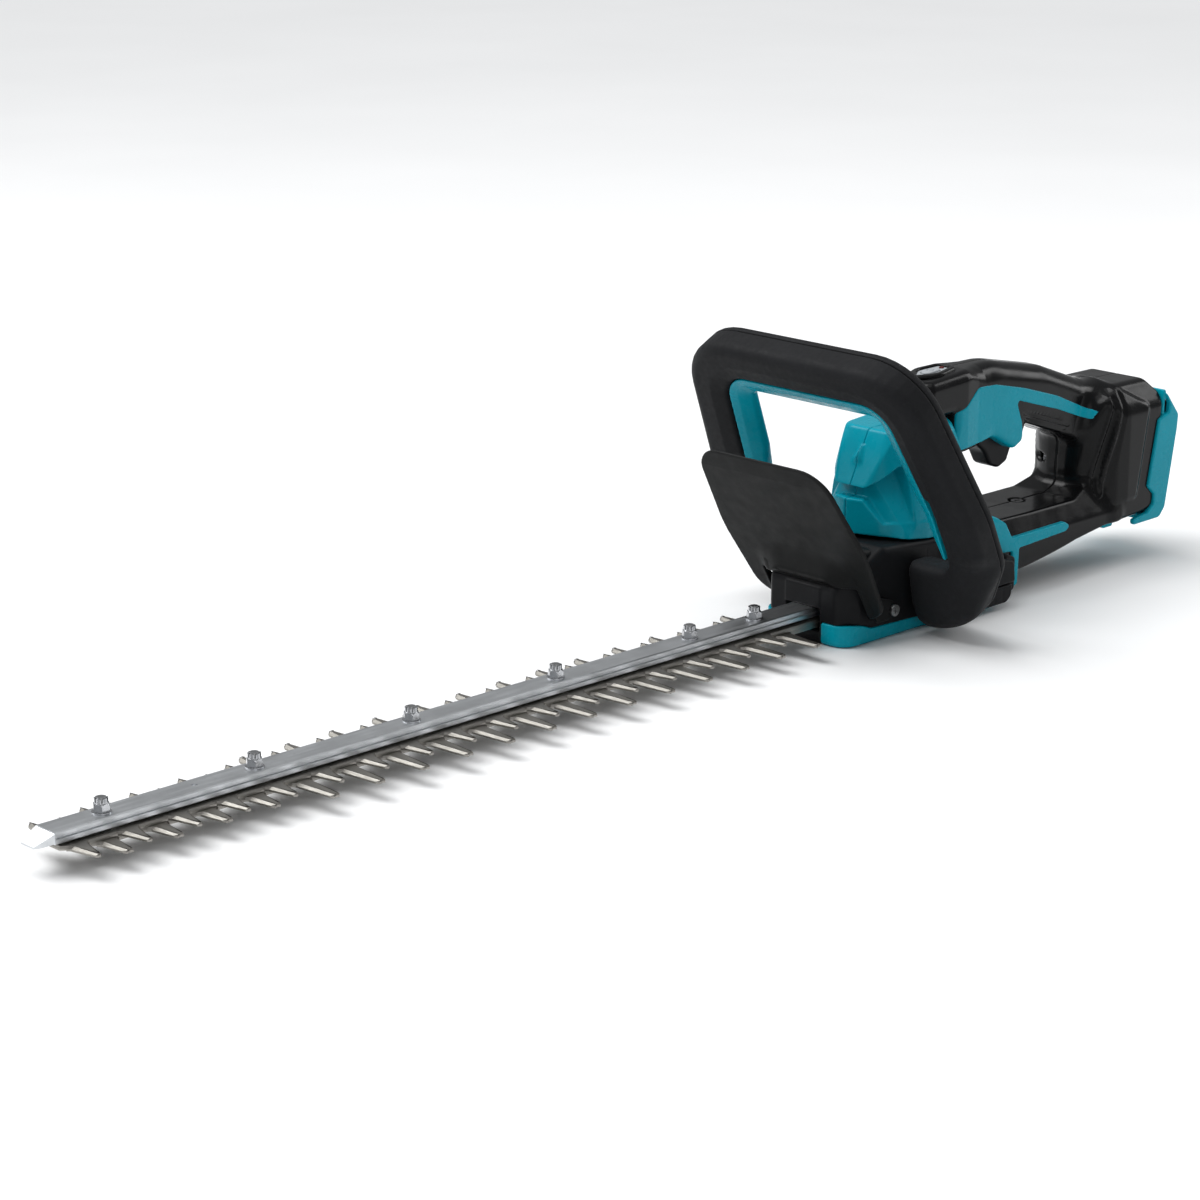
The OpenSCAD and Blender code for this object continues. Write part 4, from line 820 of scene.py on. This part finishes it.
def power_panel():
    step = 0.32
    x, y, z = grid = axes((-20, -13, -4), (20.5, 13, 4), step)
    almond = outline(x, y, ALMOND)
    plate = both(almond + 2.0, slab(z, 0.5, 1.5), 0.4)
    core = both(outline(x * 1.22, y * 1.25, ALMOND) * 0.8, slab(z, -3, 1.0), 0.2)
    plate = either(plate, core, 0.1)
    plate = minus(plate, both(outline(x + 1, y, BUTTON_HOLE), -5 - z), 0.35)
    plate = minus(plate, np.hypot(x + 11.5, y) - 1.6, 0.2)
    piece("power_panel", plate, grid, step, "power_panel", place=on_panel)
    # Raised edge round the panel, moulded in the handle
    bezel = both(both(almond - 2.2, z - 2.6, 1.6), -0.6 - z)
    bezel = minus(bezel, almond + 1.8, 0.8)
    rim_piece = to_piece("panel_bezel", bezel, grid, step, MATERIALS["handle_black"], on_panel)
    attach(rim_piece, "body")
    # Button with a crowned cap, a ring with a gap sunk into it, and a stem
    step = 0.22
    x, y, z = grid = axes((-9, -5, -2.6), (7.5, 5, 3), step)
    cap = both(outline(x + 1, y, BUTTON), z - 2.5 + 0.0072 * ((x + 1) ** 2 + y ** 2), 0.7)
    cap = both(cap, -1.5 - z, 0.2)
    stem = box_field(x + 1, y, z, (-6, -2.5, -2.3), (6, 2.5, -1))
    ring = np.abs(np.hypot(x + 1, y) - 2.2) - 0.32
    mark = minus(ring, both(slab(x + 1, -0.9, 4), slab(y, -0.6, 0.6)))
    cap = minus(cap, both(mark, 1.9 - z), 0.15)
    piece("power_button", either(cap, stem, 0.2), grid, step, "power_button", "button", on_panel)


# ---------- cutting set ----------
PITCH, TOOTH_COUNT = 31, 17
FIRST_TOOTH, LOWER_SHIFT = 581, 18
BLADE_T, LOWER_Z = 2.3, 4.6
SPINE = 11.5
BOLT_X = (558, 461, 353, 245, 136.5, 81)
HALF_STROKE = 8
DISC_SLOT_R = 12 + 0.2105 * HALF_STROKE + 0.25


def stadium(cx, cy, reach_x, reach_y, r, arc=14):
    """A round-ended slot about a centre."""
    out = []
    for k in range(4 * arc):
        a = 2 * math.pi * (k + 0.5) / (4 * arc)
        c, s = math.cos(a), math.sin(a)
        out.append((cx + math.copysign(reach_x, c) + r * c, cy + math.copysign(reach_y, s) + r * s))
    return out


def blade_side(x0, reach, short_reach, short_count, tip_half, root_half, notch):
    """One side's outline from the nose back to the yoke, as (x, y, grind width of the edge that follows)."""
    nose = x0 + 9
    yoke_x, yoke_y = DISC_SLOT_R + 6, 12 + HALF_STROKE + 7
    side = [(nose, SPINE - 3, 0.5), (nose - 4, SPINE, 0.3)]
    for i in range(TOOTH_COUNT):
        x = x0 - i * PITCH
        tip = short_reach if i < short_count else reach
        side += [(x + root_half, SPINE, 0.7), (x + root_half - 1.5, SPINE + 1.5, 1.7)]
        if notch:
            side += [(x + tip_half, tip - 2.2, 0.6), (x + tip_half - 1.2, tip, 0.5),
                     (x - 0.3, tip - 0.9, 0.5), (x - tip_half + 0.6, tip - 0.3, 0.6),
                     (x - tip_half, tip - 1.6, 1.7)]
        else:
            side += [(x + tip_half, tip - 0.8, 0.5), (x + tip_half - 0.8, tip, 0.4),
                     (x - tip_half + 0.8, tip, 0.5), (x - tip_half, tip - 0.8, 1.7)]
        side += [(x - root_half + 1.5, SPINE + 1.5, 0.7), (x - root_half, SPINE, 0.3)]
    front, back = CRANK_X + yoke_x, CRANK_X - yoke_x
    side += [(front, SPINE, 0.3)]
    side += [(front - 5 + 5 * math.sin(a), yoke_y - 5 + 5 * math.cos(a), 0.3)
             for a in (math.pi / 2 * k / 4 for k in range(4, -1, -1))]
    side += [(back + 5 - 5 * math.sin(a), yoke_y - 5 + 5 * math.cos(a), 0.3)
             for a in (math.pi / 2 * k / 4 for k in range(5))]
    return side


def inset(points, widths):
    """The outline moved inwards, each edge by its own width."""
    p = np.array(points)
    count = len(p)
    nxt = np.roll(p, -1, 0)
    along = nxt - p
    along /= np.linalg.norm(along, axis=1, keepdims=True)
    inward = np.stack([-along[:, 1], along[:, 0]], 1)
    out = []
    for i in range(count):
        a, b = inward[i - 1], inward[i]
        da, db = widths[i - 1], widths[i]
        det = a[0] * b[1] - a[1] * b[0]
        if abs(det) < 0.05:
            out.append(p[i] + b * min(da, db))
            continue
        ra, rb = a @ p[i] + da, b @ p[i] + db
        out.append(np.array([(ra * b[1] - rb * a[1]) / det, (a[0] * rb - b[0] * ra) / det]))
    return [tuple(q) for q in out]


def blade(node, z0, x0, reach, short_reach, short_count, tip_half, root_half, notch):
    side = blade_side(x0, reach, short_reach, short_count, tip_half, root_half, notch)
    # Counter-clockwise: the left side runs back from the nose, and the right side runs forwards
    points = [(x, y) for x, y, g in side] + [(x, -y) for x, y, g in reversed(side)]
    widths = [g for x, y, g in side][:-1] + [0.3] + [g for x, y, g in reversed(side[:-1])] + [0.5]
    ground = inset(points, widths)
    holes = [stadium(x, 0, HALF_STROKE + 0.2, 0, 4.3) for x in BOLT_X]
    holes += [stadium(CRANK_X, 0, 0, HALF_STROKE + 0.3, DISC_SLOT_R), stadium(23, 0, 15, 0, 4.5)]
    top, land = z0 + BLADE_T, z0 + BLADE_T - 1.25
    rings = [[(x, y, z0) for x, y in points], [(x, y, land) for x, y in points],
             [(x, y, top) for x, y in ground]]
    verts, faces, kinds = [], [], []

    def add_ring(ring):
        verts.extend(ring)
        return len(verts) - len(ring)

    def wall(a, b, count, kind):
        for i in range(count):
            j = (i + 1) % count
            faces.append((a + i, a + j, b + j, b + i))
            kinds.append(kind if not callable(kind) else kind(i))

    starts = [add_ring(ring) for ring in rings]
    count = len(points)
    wall(starts[0], starts[1], count, 0)
    wall(starts[1], starts[2], count, lambda i: 1 if widths[i] > 1 else 0)
    hole_low, hole_top = [], []
    for hole in holes:
        low = add_ring([(x, y, z0) for x, y in hole])
        high = add_ring([(x, y, top) for x, y in hole])
        hole_low.append((low, len(hole)))
        hole_top.append((high, len(hole)))
        wall(high, low, len(hole), 0)
    for start, z, hole_starts, flip in ((starts[0], z0, hole_low, True), (starts[2], top, hole_top, False)):
        loops = [(start, count)] + hole_starts
        ids = [k for first, n in loops for k in range(first, first + n)]
        polygons = [[Vector(verts[k]) for k in range(first, first + n)] for first, n in loops]
        for a, b, c in tessellate_polygon(polygons):
            corner = [Vector(verts[ids[k]]) for k in (a, b, c)]
            up = (corner[1] - corner[0]).cross(corner[2] - corner[0]).z > 0
            faces.append(tuple(ids[k] for k in ((a, b, c) if up != flip else (a, c, b))))
            kinds.append(0)
    mesh = bpy.data.meshes.new(node + "_ground")
    mesh.from_pydata([(x * MM, y * MM, (z + RAISE) * MM) for x, y, z in verts], [], faces)
    mesh.update()
    made = link(node + "_ground", mesh, MATERIALS["blade_steel"])
    mesh.materials.append(MATERIALS["ground_steel"])
    mesh.polygons.foreach_set("material_index", kinds)
    soften(made, 0.00012)
    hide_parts(node)
    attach(made, node)


def soften(shown, width, angle=28):
    """Breaks the sharp edges of a machined piece."""
    bevel = shown.modifiers.new("broken_edges", "BEVEL")
    bevel.width = width
    bevel.segments = 2
    bevel.limit_method = "ANGLE"
    bevel.angle_limit = math.radians(angle)
    bevel.harden_normals = False


def machined():
    """CAD nodes that keep their own mesh get a finish, and break their edges where they show."""
    shown = {"guide_bar": 0.0003, "dome_nuts": 0.00025, "blade_bolts": 0.0002, "bar_screws": 0.0002,
             "guard_screws": 0.00025, "undercover_screws": 0.0002, "handle_screws": 0.0002,
             "housing_screws": 0.0002, "terminals": 0.00015, "terminal_block": 0.0006}
    for name, node in frame["nodes"].items():
        node.data.materials.clear()
        node.data.materials.append(MATERIALS[finish_of(name)])
        if name in shown:
            weld = node.modifiers.new("joined", "WELD")
            weld.merge_threshold = 0.000002
            soften(node, shown[name])


# ---------- stage, lights and camera ----------
def area_light(name, at, aim, size, power):
    data = bpy.data.lights.new(name, "AREA")
    data.shape = "RECTANGLE"
    data.size, data.size_y = size
    data.energy = power
    lamp = bpy.data.objects.new(name, data)
    lamp.location = at
    lamp.rotation_euler = (Vector(aim) - Vector(at)).to_track_quat("-Z", "Y").to_euler()
    bpy.context.scene.collection.objects.link(lamp)


def stage():
    floor = bmesh.new()
    bmesh.ops.create_grid(floor, x_segments=8, y_segments=8, size=9)
    mesh = bpy.data.meshes.new("floor")
    floor.to_mesh(mesh)
    floor.free()
    paint = Shader("floor_paint", (0.86, 0.865, 0.87), 0.75)
    paint.shade(paint.range(paint.noise(3, 2), 0.3, 0.7, 0, 1), (0.84, 0.845, 0.85))
    ground = link("floor", mesh, paint.material)
    ground.location = (0, 0, -0.0004)
    world = bpy.data.worlds.new("soft_studio")
    world.use_nodes = True
    world.node_tree.nodes["Background"].inputs["Color"].default_value = (0.97, 0.985, 1.0, 1)
    world.node_tree.nodes["Background"].inputs["Strength"].default_value = 0.3
    scene = bpy.context.scene
    scene.world = world
    scene.view_settings.view_transform = "Standard"
    sun = bpy.data.lights.new("soft_sun", "SUN")
    sun.energy, sun.angle = 2.3, math.radians(50)
    lamp = bpy.data.objects.new("soft_sun", sun)
    lamp.rotation_euler = Vector((-0.35, 0.45, -1)).to_track_quat("-Z", "Y").to_euler()
    scene.collection.objects.link(lamp)
    # Soft boxes: place, aim, size and power
    area_light("key", (0.9, -1.3, 1.5), (-0.05, 0, 0.08), (1.4, 1.0), 17)
    area_light("top", (-0.1, 0.1, 2.2), (0, 0, 0), (1.6, 1.6), 9)
    area_light("fill", (1.3, 1.9, 0.9), (0, 0, 0.08), (1.2, 1.2), 4)
    area_light("rim", (-1.6, 0.5, 0.9), (-0.1, 0, 0.08), (0.5, 1.2), 7)
    lens = bpy.data.cameras.new("camera")
    lens.lens, lens.sensor_width = 96, 36
    camera = bpy.data.objects.new("camera", lens)
    camera.location = (1.4291, 1.2512, 0.5794)
    camera.rotation_euler = Vector((-0.669, -0.6866, -0.2848)).to_track_quat("-Z", "Y").to_euler()
    scene.collection.objects.link(camera)
    scene.camera = camera


stage()
machined()
blade("upper_blade", LOWER_Z + BLADE_T + 0.2, FIRST_TOOTH, 29.5, 29.5, 0, 1.7, 7, False)
blade("lower_blade", LOWER_Z, FIRST_TOOTH - LOWER_SHIFT, 40, 30, 4, 2.8, 7, True)
loop_handle()
bail()
hand_guard()
undercover()
gear_case()
motor_housing()
handle_housing()
trims()
battery_frame()
loop_feet()
trigger()
power_panel()
